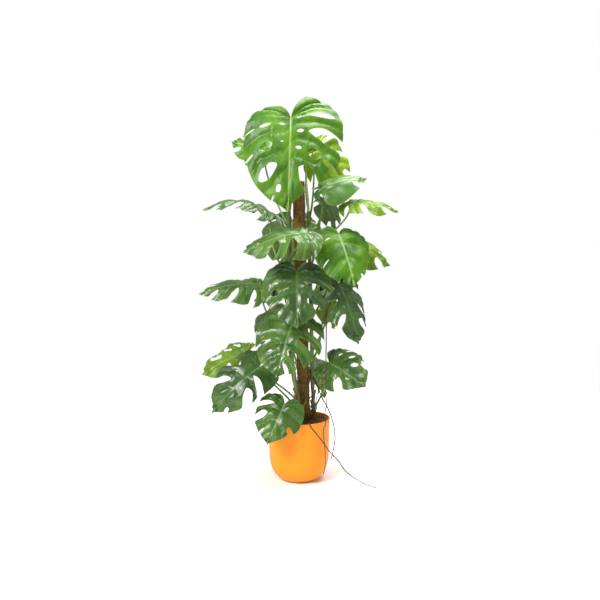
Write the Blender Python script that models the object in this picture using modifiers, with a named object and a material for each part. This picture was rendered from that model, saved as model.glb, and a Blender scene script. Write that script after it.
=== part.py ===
"""Split-leaf monstera on a coir pole in a round plastic pot.

Metres, +Z up.  The origin is the middle of the pot's flat underside, +X is to the
right and the plant's best side faces -Y.  Each leaf is one solid: a heart-shaped
blade with slits and holes, fused to its stalk, whose foot stops at its stem.
"""

import math
import random

import bmesh
import bpy
from mathutils import Vector
from mathutils.geometry import interpolate_bezier

CONTACT_GAP = 0.0003
SEAT_GAP = 0.00036
HOLE_GAP = 0.00045
MERGE_DISTANCE = 0.00001

# Pot and soil
POT_HEIGHT = 0.270
POT_RIM_RADIUS = 0.1345
POT_SHOULDER_RADIUS = 0.1300
POT_SHOULDER_HEIGHT = 0.115
POT_BASE_RADIUS = 0.060
POT_WALL = 0.0045
POT_LIP = 0.0015
TURN_STEPS = 28
CORNER_STEPS = 5
SOIL_EDGE_HEIGHT = 0.251
SOIL_CROWN_HEIGHT = 0.262

# Coir pole, which leans a little to the left as it rises
POLE_RADIUS = 0.0265
POLE_FOOT_HEIGHT = 0.030
POLE_TOP_HEIGHT = 1.285
POLE_X_AT_SOIL = 0.022
POLE_LEAN = -0.0240
POLE_FINENESS = 6
ABOVE_SOIL = 0.320
TIE_RADIUS = 0.0012
TIE_HEIGHTS = (0.425, 0.760, 1.080)

# Points between knots, sides of the tubes, and taper
STEM_STEPS = 3
STEM_FINENESS = 3
ROOT_STEPS = 2
ROOT_FINENESS = 1
ROOT_TAPER = 0.45

# Leaf blades: places along a half blade run from its basal lobe (0) to its tip (1),
# and shares of the way out run from the midrib (0) to the margin (1)
BLADE_THICKNESS = 0.0015
MIDRIB_THICKNESS = 0.0036
MIDRIB_REACH = 0.001
SINUS_ANGLE = 0.10
ROUND_BASE = 0.70
ROUND_GAIN = 0.60
BROAD_BASE = 0.26
FIRST_VEIN = 0.20
VEIN_BOW = 0.10
VEIN_GATHER = 1.5
TAPER_START = 0.50
TAPER_SPREAD = 0.45
TIP_POINT = 0.045
TIP_SPREAD = 0.055
TIP_NARROWING = 0.3

# Slits between the fingers, and the fingers' hooked and rounded corners
OPEN = 2.0
FIRST_SLIT = 0.25
LAST_SLIT = 0.80
SLIT_SHIFT = 0.018
SLIT_START = (0.27, 0.37)
SLIT_SHARE = (0.09, 0.15)
SHARED_REACH = 0.10
CLOSED_END = 0.999
HOLE_ROUNDNESS = 0.6
SLIT_RISE = 0.45
SLIT_ROUNDNESS = 0.7
HOOK_CUT = -0.030
HOOK_WIDTH = 0.030
SHOULDER_CUT = 0.150
SHOULDER_WIDTH = 0.050
FULL_CUT_WIDTH = 0.030
CORNER_START = 0.5

# How far a finger's two sides hang below its middle, as a share of the leaf's length
UPPER_DROOP = 0.034
LOWER_DROOP = 0.012
LOOSE_REACH = 0.55

PLAIN_ROWS = (0.0, 0.27, 0.62, 1.0)
LOBE_STEPS = 2
STALK_STEPS = 6
STALK_SINK = 0.0020
STALK_FOOT_SWELL = 1.25
STALK_TAPER = 0.35
STALK_ARRIVING_REACH = 0.30

# Stems: name, radius, and the points they pass through
STEMS = {
    "stem_left": (0.0095, ((0.004, -0.052, 0.060), (0.004, -0.052, 0.290), (-0.018, -0.049, 0.440),
                           (-0.037, -0.036, 0.600), (-0.041, -0.018, 0.820), (-0.042, -0.012, 1.000),
                           (-0.044, -0.010, 1.200))),
    "stem_right": (0.0080, ((0.064, 0.004, 0.060), (0.062, 0.004, 0.300), (0.055, 0.004, 0.600),
                            (0.047, 0.004, 0.900), (0.040, 0.004, 1.160))),
    "stem_back": (0.0080, ((0.018, 0.050, 0.060), (0.016, 0.046, 0.300), (0.010, 0.042, 0.600),
                           (0.002, 0.042, 0.900), (-0.002, 0.042, 1.080))),
}


class Leaf:
    """One leaf: where its blade hangs, how it is cut and bent, and where its stalk starts."""

    def __init__(self, name, base, tip, faces, width, lobes, sag, fold, curl, stem, foot,
                 cut=1.15, basal=(0.20, 0.20), halves=(1.0, 1.0), wave=0.05,
                 stalk=0.0036, lean=0.7, reach=0.4, rise=0.35, taper=(0.0, 0.0), mouth=0.9,
                 slits=None, rows=PLAIN_ROWS, solver="EXACT"):
        self.name = name
        self.base = Vector(base)
        self.tip = Vector(tip)
        self.width = width
        self.lobes = lobes
        self.sag = sag
        self.fold = math.radians(fold)
        self.curl = math.radians(curl)
        self.stem = stem
        self.foot = foot
        self.basal = basal
        self.halves = halves
        self.wave = wave
        self.stalk = stalk
        self.lean = lean
        self.reach = reach
        self.rise = rise
        self.taper = taper
        self.mouth = mouth
        self.rows = rows
        self.solver = solver
        self.length = (self.tip - self.base).length
        self.along = (self.tip - self.base).normalized()
        self.side = self.along.cross(Vector(faces)).normalized()
        self.up = self.side.cross(self.along).normalized()
        draw = random.Random(name)
        self.phase = [draw.uniform(0.0, math.tau) for _ in range(2)]
        self.slits = slits or [self.drawn_slits(draw, cut) for _ in range(2)]
        self.shared = [(first[0] + second[0]) / 2.0 for first, second in zip(*self.slits)]

    def drawn_slits(self, draw, cut):
        """Seeded slits: each has its place and its openings (start, end, half width)."""
        count = self.lobes - 1
        pitch = (LAST_SLIT - FIRST_SLIT) / max(count - 1, 1)
        slits = []
        for k in range(count):
            place = FIRST_SLIT + pitch * k + draw.uniform(-SLIT_SHIFT, SLIT_SHIFT)
            start = draw.uniform(*SLIT_START)
            width = cut * pitch * draw.uniform(*SLIT_SHARE)
            slits.append((place, ((start, OPEN, width),)))
        return slits


# Slits of the right and left halves: place, then openings (start, end, half width)
TOP_LEAF_SLITS = (
    ((0.270, ((0.10, 0.22, 0.014), (0.34, 0.86, 0.026))),
     (0.440, ((0.10, 0.22, 0.017), (0.30, OPEN, 0.055))),
     (0.585, ((0.10, 0.22, 0.013), (0.34, 0.66, 0.032), (0.72, OPEN, 0.016))),
     (0.710, ((0.30, OPEN, 0.050),))),
    ((0.355, ((0.10, 0.22, 0.013), (0.38, 0.62, 0.018), (0.72, OPEN, 0.008))),
     (0.535, ((0.12, 0.18, 0.006), (0.34, 0.64, 0.034), (0.76, OPEN, 0.009))),
     (0.695, ((0.30, 0.88, 0.045),)),
     (0.835, ((0.34, 0.62, 0.024), (0.74, OPEN, 0.007)))),
)
CENTRE_LEAF_SLITS = (
    ((0.400, ()),
     (0.515, ((0.16, 0.24, 0.012), (0.30, OPEN, 0.050))),
     (0.680, ((0.17, 0.25, 0.012), (0.36, 0.62, 0.028), (0.68, OPEN, 0.022)))),
    ((0.430, ((0.46, 0.62, 0.022), (0.72, OPEN, 0.006))),
     (0.560, ((0.50, 0.76, 0.032),)),
     (0.700, ((0.34, OPEN, 0.034),))),
)
LOWER_LEAF_SLITS = (
    ((0.370, ((0.32, OPEN, 0.032),)),
     (0.535, ((0.28, OPEN, 0.034),)),
     (0.730, ((0.15, OPEN, 0.038),)),
     (0.865, ((0.20, OPEN, 0.022),))),
    ((0.470, ((0.45, OPEN, 0.010),)),
     (0.595, ((0.32, OPEN, 0.013),)),
     (0.710, ((0.24, 0.60, 0.014),)),
     (0.850, ())),
)
RIM_LEAF_SLITS = (
    ((0.300, ()),
     (0.620, ((0.62, OPEN, 0.030),)),
     (0.800, ())),
    ((0.370, ((0.30, OPEN, 0.045),)),
     (0.560, ((0.42, OPEN, 0.060),)),
     (0.760, ((0.60, OPEN, 0.010),))),
)
FAR_LEFT_SLITS = (
    ((0.300, ((0.40, OPEN, 0.030),)),
     (0.450, ((0.30, OPEN, 0.050),)),
     (0.640, ((0.25, OPEN, 0.045),))),
    ((0.400, ((0.30, 0.80, 0.034),)),
     (0.540, ((0.28, 0.80, 0.034),)),
     (0.720, ((0.22, 0.88, 0.060),))),
)
LOWER_LEFT_SLITS = (
    ((0.440, ((0.14, OPEN, 0.038),)),
     (0.585, ((0.34, OPEN, 0.055),)),
     (0.800, ((0.72, OPEN, 0.022),))),
    ((0.450, ((0.42, OPEN, 0.048),)),
     (0.645, ((0.30, OPEN, 0.036),)),
     (0.800, ())),
)
LOWER_RIGHT_SLITS = (
    ((0.380, ((0.34, 0.50, 0.020), (0.72, OPEN, 0.034))),
     (0.520, ((0.50, 0.76, 0.018),)),
     (0.660, ((0.30, 0.66, 0.036), (0.78, OPEN, 0.070)))),
    ((0.380, ((0.34, OPEN, 0.032),)),
     (0.600, ((0.38, OPEN, 0.052),)),
     (0.780, ())),
)
HANGING_LEAF_SLITS = (
    ((0.400, ((0.40, OPEN, 0.040),)),
     (0.600, ((0.36, OPEN, 0.024),)),
     (0.760, ((0.34, OPEN, 0.040),))),
    ((0.340, ((0.30, OPEN, 0.055),)),
     (0.500, ((0.36, OPEN, 0.036),)),
     (0.680, ((0.34, OPEN, 0.034),))),
)
RIGHT_FACE_SLITS = (
    ((0.360, ()),
     (0.600, ((0.72, OPEN, 0.012),)),
     (0.800, ((0.84, OPEN, 0.016),))),
    ((0.360, ((0.30, 0.55, 0.016),)),
     (0.600, ((0.60, OPEN, 0.009),)),
     (0.840, ((0.80, OPEN, 0.020),))),
)
MIDDLE_LEFT_SLITS = (
    ((0.310, ((0.45, OPEN, 0.012),)),
     (0.500, ((0.24, OPEN, 0.045),)),
     (0.670, ((0.22, OPEN, 0.045),))),
    ((0.310, ((0.40, OPEN, 0.020),)),
     (0.500, ((0.35, OPEN, 0.026),)),
     (0.670, ((0.35, OPEN, 0.026),))),
)

LEAVES = (
    Leaf("leaf_01_top", (-0.033, -0.070, 1.541), (-0.045, -0.160, 1.172), (0.04, -0.95, 0.30),
         1.12, 5, 0.06, -4, 26, "stem_left", 1.120, basal=(0.285, 0.150), halves=(1.08, 0.92),
         wave=0.03, taper=(0.8, 0.0), mouth=0.8, slits=TOP_LEAF_SLITS,
         rows=(0.0, 0.10, 0.16, 0.22, 0.30, 0.50, 0.66, 0.72, 0.88, 1.0)),
    Leaf("leaf_02_upper_left", (-0.143, 0.085, 1.414), (-0.286, 0.120, 1.457), (-0.20, -0.80, 0.50),
         1.10, 4, 0.06, -4, 24, "stem_back", 1.020),
    Leaf("leaf_03_young", (0.081, 0.078, 1.421), (0.208, 0.130, 1.259), (0.20, -0.85, 0.45),
         1.10, 4, 0.05, -2, 20, "stem_right", 1.120, cut=1.4),
    Leaf("leaf_04_upper_right", (0.093, -0.030, 1.257), (0.275, -0.020, 1.292), (-0.10, -0.55, 0.82),
         1.05, 3, 0.08, -6, 44, "stem_right", 1.030, cut=0.6),
    Leaf("leaf_05_far_right", (0.214, -0.020, 1.194), (0.405, -0.050, 1.157), (0.0, -0.34, 0.94),
         0.85, 4, 0.10, -6, 34, "stem_right", 0.970, cut=1.5),
    Leaf("leaf_06_shaded", (0.115, 0.060, 1.200), (0.151, 0.083, 1.074), (0.45, 0.60, 0.45),
         0.95, 3, 0.08, -4, 30, "stem_right", 0.920),
    Leaf("leaf_07_level_left", (-0.110, 0.000, 1.152), (-0.392, -0.030, 1.165), (0.0, -0.08, 1.0),
         0.80, 5, 0.16, -6, 28, "stem_left", 0.870, cut=1.5),
    Leaf("leaf_08_middle_left", (0.030, -0.175, 1.076), (-0.212, -0.195, 0.994), (0.05, -0.46, 0.88),
         1.00, 4, 0.08, -6, 38, "stem_left", 0.950, slits=MIDDLE_LEFT_SLITS,
         rows=(0.0, 0.22, 0.42, 0.68, 1.0)),
    Leaf("leaf_09_right_face", (0.166, -0.090, 1.066), (0.222, -0.200, 0.867), (0.10, -0.80, 0.55),
         1.05, 4, 0.06, -4, 26, "stem_right", 0.760, basal=(0.10, 0.20), halves=(0.88, 1.0),
         taper=(0.10, -0.25), slits=RIGHT_FACE_SLITS,
         rows=(0.0, 0.30, 0.42, 0.56, 0.78, 1.0)),
    Leaf("leaf_10_right_behind", (0.195, 0.045, 1.035), (0.385, 0.070, 0.928), (0.25, -0.60, 0.75),
         0.95, 4, 0.08, -6, 30, "stem_right", 0.700, cut=1.4),
    Leaf("leaf_11_level_left", (-0.157, -0.020, 0.852), (-0.408, -0.060, 0.813), (-0.10, -0.45, 0.90),
         0.85, 5, 0.08, -6, 38, "stem_left", 0.560, cut=1.4),
    Leaf("leaf_12_curled", (-0.085, 0.050, 0.865), (-0.190, 0.090, 0.770), (-0.30, -0.60, 0.70),
         0.95, 3, 0.08, -4, 34, "stem_back", 0.560),
    Leaf("leaf_13_centre", (-0.009, -0.100, 0.909), (-0.008, -0.190, 0.695), (0.0, -0.90, 0.42),
         1.25, 4, 0.06, -4, 28, "stem_left", 0.540, taper=(0.30, 0.0), slits=CENTRE_LEAF_SLITS,
         rows=(0.0, 0.15, 0.20, 0.25, 0.30, 0.50, 0.62, 0.68, 0.80, 1.0), solver="MANIFOLD"),
    Leaf("leaf_14_right_hanging", (0.172, -0.040, 0.854), (0.243, -0.100, 0.617), (0.50, -0.75, 0.42),
         0.95, 4, 0.06, -4, 30, "stem_right", 0.560, halves=(1.0, 0.85), slits=HANGING_LEAF_SLITS,
         rows=(0.0, 0.30, 0.48, 0.72, 1.0)),
    Leaf("leaf_15_small", (0.115, 0.000, 0.765), (0.151, 0.030, 0.657), (0.10, -0.80, 0.55),
         0.90, 3, 0.06, -4, 24, "stem_right", 0.520),
    Leaf("leaf_16_lower_centre", (-0.026, -0.105, 0.700), (-0.090, -0.205, 0.495), (-0.05, -0.75, 0.62),
         1.25, 5, 0.06, -4, 28, "stem_left", 0.380, slits=LOWER_LEAF_SLITS,
         rows=(0.0, 0.14, 0.30, 0.50, 0.74, 1.0), solver="MANIFOLD"),
    Leaf("leaf_17_far_left", (-0.222, 0.035, 0.551), (-0.408, 0.005, 0.457), (-0.20, -0.60, 0.78),
         1.00, 4, 0.08, -6, 32, "stem_left", 0.300, halves=(0.85, 1.25), slits=FAR_LEFT_SLITS,
         rows=(0.0, 0.22, 0.42, 0.66, 0.88, 1.0)),
    Leaf("leaf_18_lower_left", (-0.168, -0.100, 0.508), (-0.352, -0.150, 0.335), (-0.12, -0.85, 0.50),
         1.00, 4, 0.12, -4, 30, "stem_left", 0.345, halves=(0.82, 1.0), taper=(0.0, 0.25),
         slits=LOWER_LEFT_SLITS,
         rows=(0.0, 0.14, 0.40, 0.72, 1.0)),
    Leaf("leaf_19_lower_right", (0.130, -0.065, 0.522), (0.270, -0.125, 0.431), (0.12, -0.80, 0.55),
         1.25, 4, 0.06, -4, 30, "stem_right", 0.300, halves=(1.22, 0.92), taper=(0.0, 0.45),
         slits=LOWER_RIGHT_SLITS,
         rows=(0.0, 0.30, 0.42, 0.54, 0.66, 0.78, 1.0)),
    Leaf("leaf_20_small_low", (0.057, 0.072, 0.455), (0.110, 0.055, 0.347), (0.30, -0.75, 0.55),
         1.35, 5, 0.08, -4, 24, "stem_right", 0.320, cut=2.2, basal=(0.05, 0.12),
         halves=(0.85, 0.42)),
    Leaf("leaf_21_over_rim", (-0.060, -0.125, 0.356), (-0.128, -0.200, 0.210), (-0.10, -0.88, 0.45),
         1.15, 4, 0.06, -4, 30, "stem_left", 0.270, halves=(0.95, 1.20), taper=(0.45, 0.30),
         slits=RIM_LEAF_SLITS,
         rows=(0.0, 0.30, 0.60, 0.80, 1.0)),
    Leaf("leaf_22_back_upper", (-0.030, 0.155, 1.120), (-0.050, 0.305, 0.900), (-0.05, 0.80, 0.55),
         1.00, 4, 0.06, -4, 26, "stem_back", 0.840, cut=1.3),
    Leaf("leaf_23_back_lower", (-0.060, 0.120, 0.727), (-0.110, 0.270, 0.520), (-0.25, 0.80, 0.55),
         1.05, 4, 0.06, -4, 26, "stem_back", 0.440, cut=1.3),
    Leaf("leaf_24_back_right", (0.090, 0.150, 0.870), (0.170, 0.280, 0.690), (0.45, 0.70, 0.55),
         1.00, 4, 0.06, -4, 26, "stem_back", 0.640, cut=1.3),
    Leaf("leaf_25_back_low", (0.060, 0.120, 0.500), (0.130, 0.250, 0.370), (0.35, 0.75, 0.55),
         1.00, 4, 0.06, -4, 26, "stem_back", 0.300, cut=1.3),
)

# Aerial roots: radius and the points they pass through
ROOTS = {
    "aerial_root_1": (0.0031, ((0.030, -0.094, 0.232), (0.032, -0.103, 0.258), (0.036, -0.118, 0.2718),
                               (0.040, -0.130, 0.2750), (0.045, -0.141, 0.271), (0.056, -0.152, 0.256),
                               (0.087, -0.160, 0.221), (0.110, -0.164, 0.189), (0.131, -0.165, 0.160),
                               (0.162, -0.165, 0.128), (0.192, -0.165, 0.084), (0.236, -0.163, 0.048),
                               (0.275, -0.160, 0.0245), (0.308, -0.155, 0.0115), (0.327, -0.150, 0.0020))),
    "aerial_root_2": (0.0032, ((0.0588, 0.004, 0.452), (0.070, -0.022, 0.430), (0.084, -0.038, 0.400),
                               (0.100, -0.046, 0.363), (0.127, -0.055, 0.314), (0.146, -0.062, 0.260),
                               (0.154, -0.068, 0.205), (0.150, -0.074, 0.162), (0.142, -0.082, 0.129),
                               (0.134, -0.092, 0.103))),
    "aerial_root_3": (0.0024, ((0.0492, 0.004, 0.816), (0.078, -0.034, 0.815), (0.108, -0.050, 0.790),
                               (0.115, -0.060, 0.686), (0.113, -0.110, 0.567), (0.112, -0.130, 0.403),
                               (0.115, -0.130, 0.361), (0.109, -0.134, 0.319), (0.112, -0.138, 0.281),
                               (0.102, -0.142, 0.250), (0.104, -0.140, 0.213), (0.109, -0.134, 0.166),
                               (0.111, -0.126, 0.117), (0.108, -0.122, 0.075), (0.100, -0.118, 0.042))),
}
ROOT_STEMS = {"aerial_root_2": "stem_right", "aerial_root_3": "stem_right"}

SPEAR_FOOT = (0.040, 0.004, 1.1605)
SPEAR_TIP = (0.030, 0.006, 1.375)
SPEAR_RADIUS = 0.0070
SPEAR_SHARES = (0.0, 0.3, 0.6, 0.85, 1.0)
SPEAR_SWELL = (0.8, 1.0, 0.8, 0.45, 0.1)


def clear_scene():
    for thing in list(bpy.data.objects):
        bpy.data.objects.remove(thing, do_unlink=True)


def make_collection(name):
    collection = bpy.data.collections.new(name)
    bpy.context.scene.collection.children.link(collection)
    return collection


def make_material(name, colour, roughness, metallic=0.0):
    material = bpy.data.materials.new(name)
    material.use_nodes = True
    shader = material.node_tree.nodes["Principled BSDF"]
    shader.inputs["Base Color"].default_value = (*colour, 1.0)
    shader.inputs["Roughness"].default_value = roughness
    shader.inputs["Metallic"].default_value = metallic
    return material


def add_object(name, data, material, collection):
    thing = bpy.data.objects.new(name, data)
    data.materials.clear()
    data.materials.append(material)
    collection.objects.link(thing)
    return thing


def turned_object(name, profile, material, collection):
    """Turns an open (radius, height) profile, listed down its outer side, round Z."""
    mesh = bpy.data.meshes.new(name)
    mesh.from_pydata([(r, 0.0, z) for r, z in profile], [(i, i + 1) for i in range(len(profile) - 1)], [])
    thing = add_object(name, mesh, material, collection)
    screw = thing.modifiers.new("turn", "SCREW")
    screw.steps = TURN_STEPS
    screw.render_steps = TURN_STEPS
    screw.use_merge_vertices = True
    screw.merge_threshold = MERGE_DISTANCE
    return thing


def pot_radius(height):
    """Outer radius of the pot: a tapering side above a wide elliptical corner."""
    if height >= POT_SHOULDER_HEIGHT:
        share = (height - POT_SHOULDER_HEIGHT) / (POT_HEIGHT - POT_SHOULDER_HEIGHT)
        return POT_SHOULDER_RADIUS + (POT_RIM_RADIUS - POT_SHOULDER_RADIUS) * share
    drop = 1.0 - height / POT_SHOULDER_HEIGHT
    return POT_BASE_RADIUS + (POT_SHOULDER_RADIUS - POT_BASE_RADIUS) * math.sqrt(1.0 - drop * drop)


def corner_heights():
    """Heights down the rounded corner, closer together near the base."""
    quarter = math.pi / 2.0 / CORNER_STEPS
    return [POT_SHOULDER_HEIGHT * (1.0 - math.sin(quarter * step)) for step in range(CORNER_STEPS + 1)]


def pot_profile():
    outside = [(pot_radius(z), z) for z in [POT_HEIGHT - POT_LIP] + corner_heights()]
    inside = [(pot_radius(z) - POT_WALL, max(z, POT_WALL)) for z in corner_heights()]
    rim_radius = pot_radius(POT_HEIGHT)
    lip = [(rim_radius - POT_WALL, POT_HEIGHT - POT_LIP), (rim_radius - POT_WALL + POT_LIP, POT_HEIGHT),
           (rim_radius - POT_LIP, POT_HEIGHT)]
    return [(0.0, POT_WALL)] + inside[::-1] + lip + outside + [(0.0, 0.0)]


def soil_profile():
    clear = POT_WALL + CONTACT_GAP
    side = [(pot_radius(z) - clear, max(z, clear)) for z in corner_heights()]
    edge = (pot_radius(SOIL_EDGE_HEIGHT) - clear, SOIL_EDGE_HEIGHT)
    crown = [(0.0, SOIL_CROWN_HEIGHT), (edge[0] * 0.6, SOIL_CROWN_HEIGHT - 0.002)]
    return crown + [edge] + side + [(0.0, clear)]


def pole_centre(height):
    return Vector((POLE_X_AT_SOIL + POLE_LEAN * (height - POT_HEIGHT), 0.0, height))


def smooth_route(points, steps):
    """Points on a smooth curve through the given ones, with steps between each pair."""
    knots = [Vector(p) for p in points]
    tangents = []
    for i in range(len(knots)):
        before = knots[max(i - 1, 0)]
        after = knots[min(i + 1, len(knots) - 1)]
        tangents.append((after - before).normalized())
    route = [knots[0]]
    for i in range(len(knots) - 1):
        handle = (knots[i + 1] - knots[i]).length / 3.0
        route += interpolate_bezier(knots[i], knots[i] + tangents[i] * handle,
                                    knots[i + 1] - tangents[i + 1] * handle, knots[i + 1], steps + 1)[1:]
    return route


def tube_object(name, route, radii, material, collection, fineness=2):
    """A round tube along the route, with one radius for each of its points."""
    curve = bpy.data.curves.new(name, "CURVE")
    curve.dimensions = "3D"
    curve.bevel_depth = 1.0
    curve.bevel_resolution = fineness
    curve.use_fill_caps = True
    spline = curve.splines.new("POLY")
    spline.points.add(len(route) - 1)
    for point, place, radius in zip(spline.points, route, radii):
        point.co = (*place, 1.0)
        point.radius = radius
    return add_object(name, curve, material, collection)


def mesh_from_tube(tube, collection):
    """Replaces a tube curve by its mesh, with the caps welded on."""
    depsgraph = bpy.context.evaluated_depsgraph_get()
    mesh = bpy.data.meshes.new_from_object(tube.evaluated_get(depsgraph))
    shape = bmesh.new()
    shape.from_mesh(mesh)
    bmesh.ops.remove_doubles(shape, verts=shape.verts, dist=MERGE_DISTANCE)
    bmesh.ops.triangulate(shape, faces=shape.faces)
    shape.to_mesh(mesh)
    shape.free()
    name = tube.name
    material = tube.data.materials[0]
    bpy.data.objects.remove(tube, do_unlink=True)
    return add_object(name, mesh, material, collection)


def as_tool(thing):
    thing.hide_render = True
    thing.display_type = "WIRE"
    return thing


def add_boolean(thing, tool, operation, solver="EXACT"):
    modifier = thing.modifiers.new(f"{operation.lower()}_{tool.name}", "BOOLEAN")
    modifier.operation = operation
    modifier.solver = solver
    modifier.object = tool


def smooth_step(value):
    value = min(max(value, 0.0), 1.0)
    return value * value * (3.0 - 2.0 * value)


def tip_share(s):
    """How much of the drawn-out tip is at s: 1 at the tip itself."""
    return math.exp(-((1.0 - s) / TIP_SPREAD) ** 2)


def margin_point(leaf, half, s):
    """Outline of the flat half blade, from its basal lobe (s 0) to its tip (s 1)."""
    angle = SINUS_ANGLE + (math.pi - SINUS_ANGLE) * s
    reach = leaf.basal[half]
    u = ((1.0 - reach) - (1.0 + reach) * math.cos(angle)) / 2.0
    half_width = 0.5 * leaf.width * leaf.halves[half]
    v = half_width * abs(math.sin(angle)) ** (ROUND_BASE + ROUND_GAIN * s * s)
    v *= 1.0 + BROAD_BASE * math.cos(angle)
    v *= 1.0 - leaf.taper[half] * smooth_step((s - TAPER_START) / TAPER_SPREAD)
    return u, v * (1.0 - TIP_NARROWING * tip_share(s))


def vein_root(s):
    """Place on the midrib where the side vein s leaves it; the first ones share the base."""
    return max(0.0, (s - FIRST_VEIN) / (1.0 - FIRST_VEIN)) ** VEIN_GATHER


def flat_point(leaf, half, s, t):
    """Point of the flat half blade on vein s, a share t of the way out to the margin."""
    u1, v1 = margin_point(leaf, half, s)
    u0 = vein_root(s)
    bow = VEIN_BOW * 4.0 * t * (1.0 - t)
    u = u0 + (u1 - u0) * t - bow * v1
    v = v1 * t + bow * (u1 - u0)
    return u + TIP_POINT * tip_share(s) * t, max(v, 0.0)


def slit_place(leaf, half, k, t):
    """The s of slit k at t: shared by both halves at the midrib, its own further out."""
    own = leaf.slits[half][k][0]
    return leaf.shared[k] + (own - leaf.shared[k]) * min(t / SHARED_REACH, 1.0)


def slit_gap(leaf, half, k, t):
    """Half width of slit k, in s, at the share t of the way out."""
    for start, end, width in leaf.slits[half][k][1]:
        share = (t - start) / (min(end, 1.0) - start)
        if end < 1.0 and 0.0 < share < CLOSED_END:
            return width * math.sin(math.pi * share) ** HOLE_ROUNDNESS
        if end == OPEN and share > 0.0:
            rise = math.sin(0.5 * math.pi * min(share / SLIT_RISE, 1.0)) ** SLIT_ROUNDNESS
            closing = smooth_step((share - SLIT_RISE) / (1.0 - SLIT_RISE))
            return width * rise * (1.0 + (leaf.mouth - 1.0) * closing)
    return 0.0


def slit_freedom(leaf, half, k, t):
    """How freely the blade hangs beside slit k at t, from 0 (whole) to 1 (a loose finger)."""
    if 0 <= k < leaf.lobes - 1:
        for start, end, _ in leaf.slits[half][k][1]:
            if end == OPEN:
                return smooth_step((t - start) / LOOSE_REACH)
    return 0.0


def margin_share(leaf, half, s, t):
    """How far out the margin is at s: hooked before each open slit, rounded after it."""
    cut = 0.0
    for k in range(leaf.lobes - 1):
        openings = leaf.slits[half][k][1]
        if openings and openings[-1][1] == OPEN:
            away = s - slit_place(leaf, half, k, t)
            depth, spread = (HOOK_CUT, HOOK_WIDTH) if away < 0.0 else (SHOULDER_CUT, SHOULDER_WIDTH)
            cut += depth * math.exp(-(away / spread) ** 2) * min(openings[-1][2] / FULL_CUT_WIDTH, 1.0)
    cut *= smooth_step((1.0 - s) / TIP_SPREAD)
    return 1.0 - cut * smooth_step((t - CORNER_START) / (1.0 - CORNER_START))


def bent_point(leaf, half, u, v, s, droop):
    """Bends a flat blade point along the sagging midrib and down to each side."""
    centre = leaf.base + leaf.along * (u * leaf.length)
    half_width = 0.5 * leaf.width
    turn = leaf.curl / half_width
    out = (math.sin(leaf.fold) - math.sin(leaf.fold - turn * v)) / turn
    lift = (math.cos(leaf.fold - turn * v) - math.cos(leaf.fold)) / turn
    ripple = math.sin(math.pi * leaf.lobes * s + leaf.phase[half])
    lift += leaf.wave * (v / half_width) ** 2 * ripple
    lift += leaf.sag * 4.0 * u * (1.0 - u) - droop
    hand = -1.0 if half == 0 else 1.0
    return centre + leaf.side * (hand * out * leaf.length) + leaf.up * (lift * leaf.length)


class BladeSheet:
    """The blade's middle surface: shared points, their thickness, and its faces."""

    def __init__(self):
        self.points = []
        self.thickness = []
        self.places = {}
        self.faces = []

    def point(self, place, thickness):
        key = tuple(round(c, 6) for c in place)
        if key not in self.places:
            self.places[key] = len(self.points)
            self.points.append(place)
            self.thickness.append(thickness)
        return self.places[key]

    def face(self, corners):
        distinct = [c for i, c in enumerate(corners) if c != corners[i - 1]]
        if len(distinct) == 4:
            self.faces.append(distinct[:3])
            self.faces.append([distinct[0], distinct[2], distinct[3]])
        elif len(distinct) == 3:
            self.faces.append(distinct)


def lobe_line(leaf, half, lobe, t):
    """Points across one lobe at t, from its lower slit or edge to its upper one."""
    lower = 0.0
    upper = 1.0
    if lobe > 0:
        lower = slit_place(leaf, half, lobe - 1, t) + slit_gap(leaf, half, lobe - 1, t)
    if lobe < leaf.lobes - 1:
        upper = slit_place(leaf, half, lobe, t) - slit_gap(leaf, half, lobe, t)
    line = []
    for i in range(LOBE_STEPS + 1):
        across = i / LOBE_STEPS
        s = lower * (1.0 - across) + upper * across
        u, v = flat_point(leaf, half, s, t * margin_share(leaf, half, s, t))
        droop = UPPER_DROOP * t * across ** 2 * slit_freedom(leaf, half, lobe, t)
        droop += LOWER_DROOP * t * (1.0 - across) ** 2 * slit_freedom(leaf, half, lobe - 1, t)
        thickness = MIDRIB_THICKNESS if v < MIDRIB_REACH else BLADE_THICKNESS
        line.append((bent_point(leaf, half, u, v, s, droop), thickness))
    return line


def blade_sheet(leaf):
    sheet = BladeSheet()
    for half in range(2):
        for lobe in range(leaf.lobes):
            grid = [[sheet.point(*spot) for spot in lobe_line(leaf, half, lobe, t)] for t in leaf.rows]
            for inner, outer in zip(grid, grid[1:]):
                for i in range(LOBE_STEPS):
                    corners = [inner[i], outer[i], outer[i + 1], inner[i + 1]]
                    sheet.face(corners if half else corners[::-1])
    return sheet


def thicken(sheet, mesh):
    """Makes the closed blade: both faces are split into the same triangles."""
    normals = [Vector() for _ in sheet.points]
    edges = {}
    for a, b, c in sheet.faces:
        normal = (sheet.points[b] - sheet.points[a]).cross(sheet.points[c] - sheet.points[a])
        for i in (a, b, c):
            normals[i] += normal
        for edge in ((a, b), (b, c), (c, a)):
            edges[edge] = True
    count = len(sheet.points)
    places = []
    for sign in (1.0, -1.0):
        for place, normal, thickness in zip(sheet.points, normals, sheet.thickness):
            places.append(place + normal.normalized() * (sign * thickness / 2.0))
    faces = [tuple(face) for face in sheet.faces]
    faces += [(c + count, b + count, a + count) for a, b, c in sheet.faces]
    for a, b in edges:
        if (b, a) not in edges:
            faces.append((b, a, a + count))
            faces.append((b, a + count, b + count))
    mesh.from_pydata([tuple(p) for p in places], [], faces)
    mesh.update()


def stem_point(name, height):
    """The centre of a stem at a height, on its smooth route."""
    route = smooth_route(STEMS[name][1], 4)
    for low, high in zip(route, route[1:]):
        if low.z <= height <= high.z:
            return low.lerp(high, (height - low.z) / (high.z - low.z))
    return route[-1]


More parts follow.
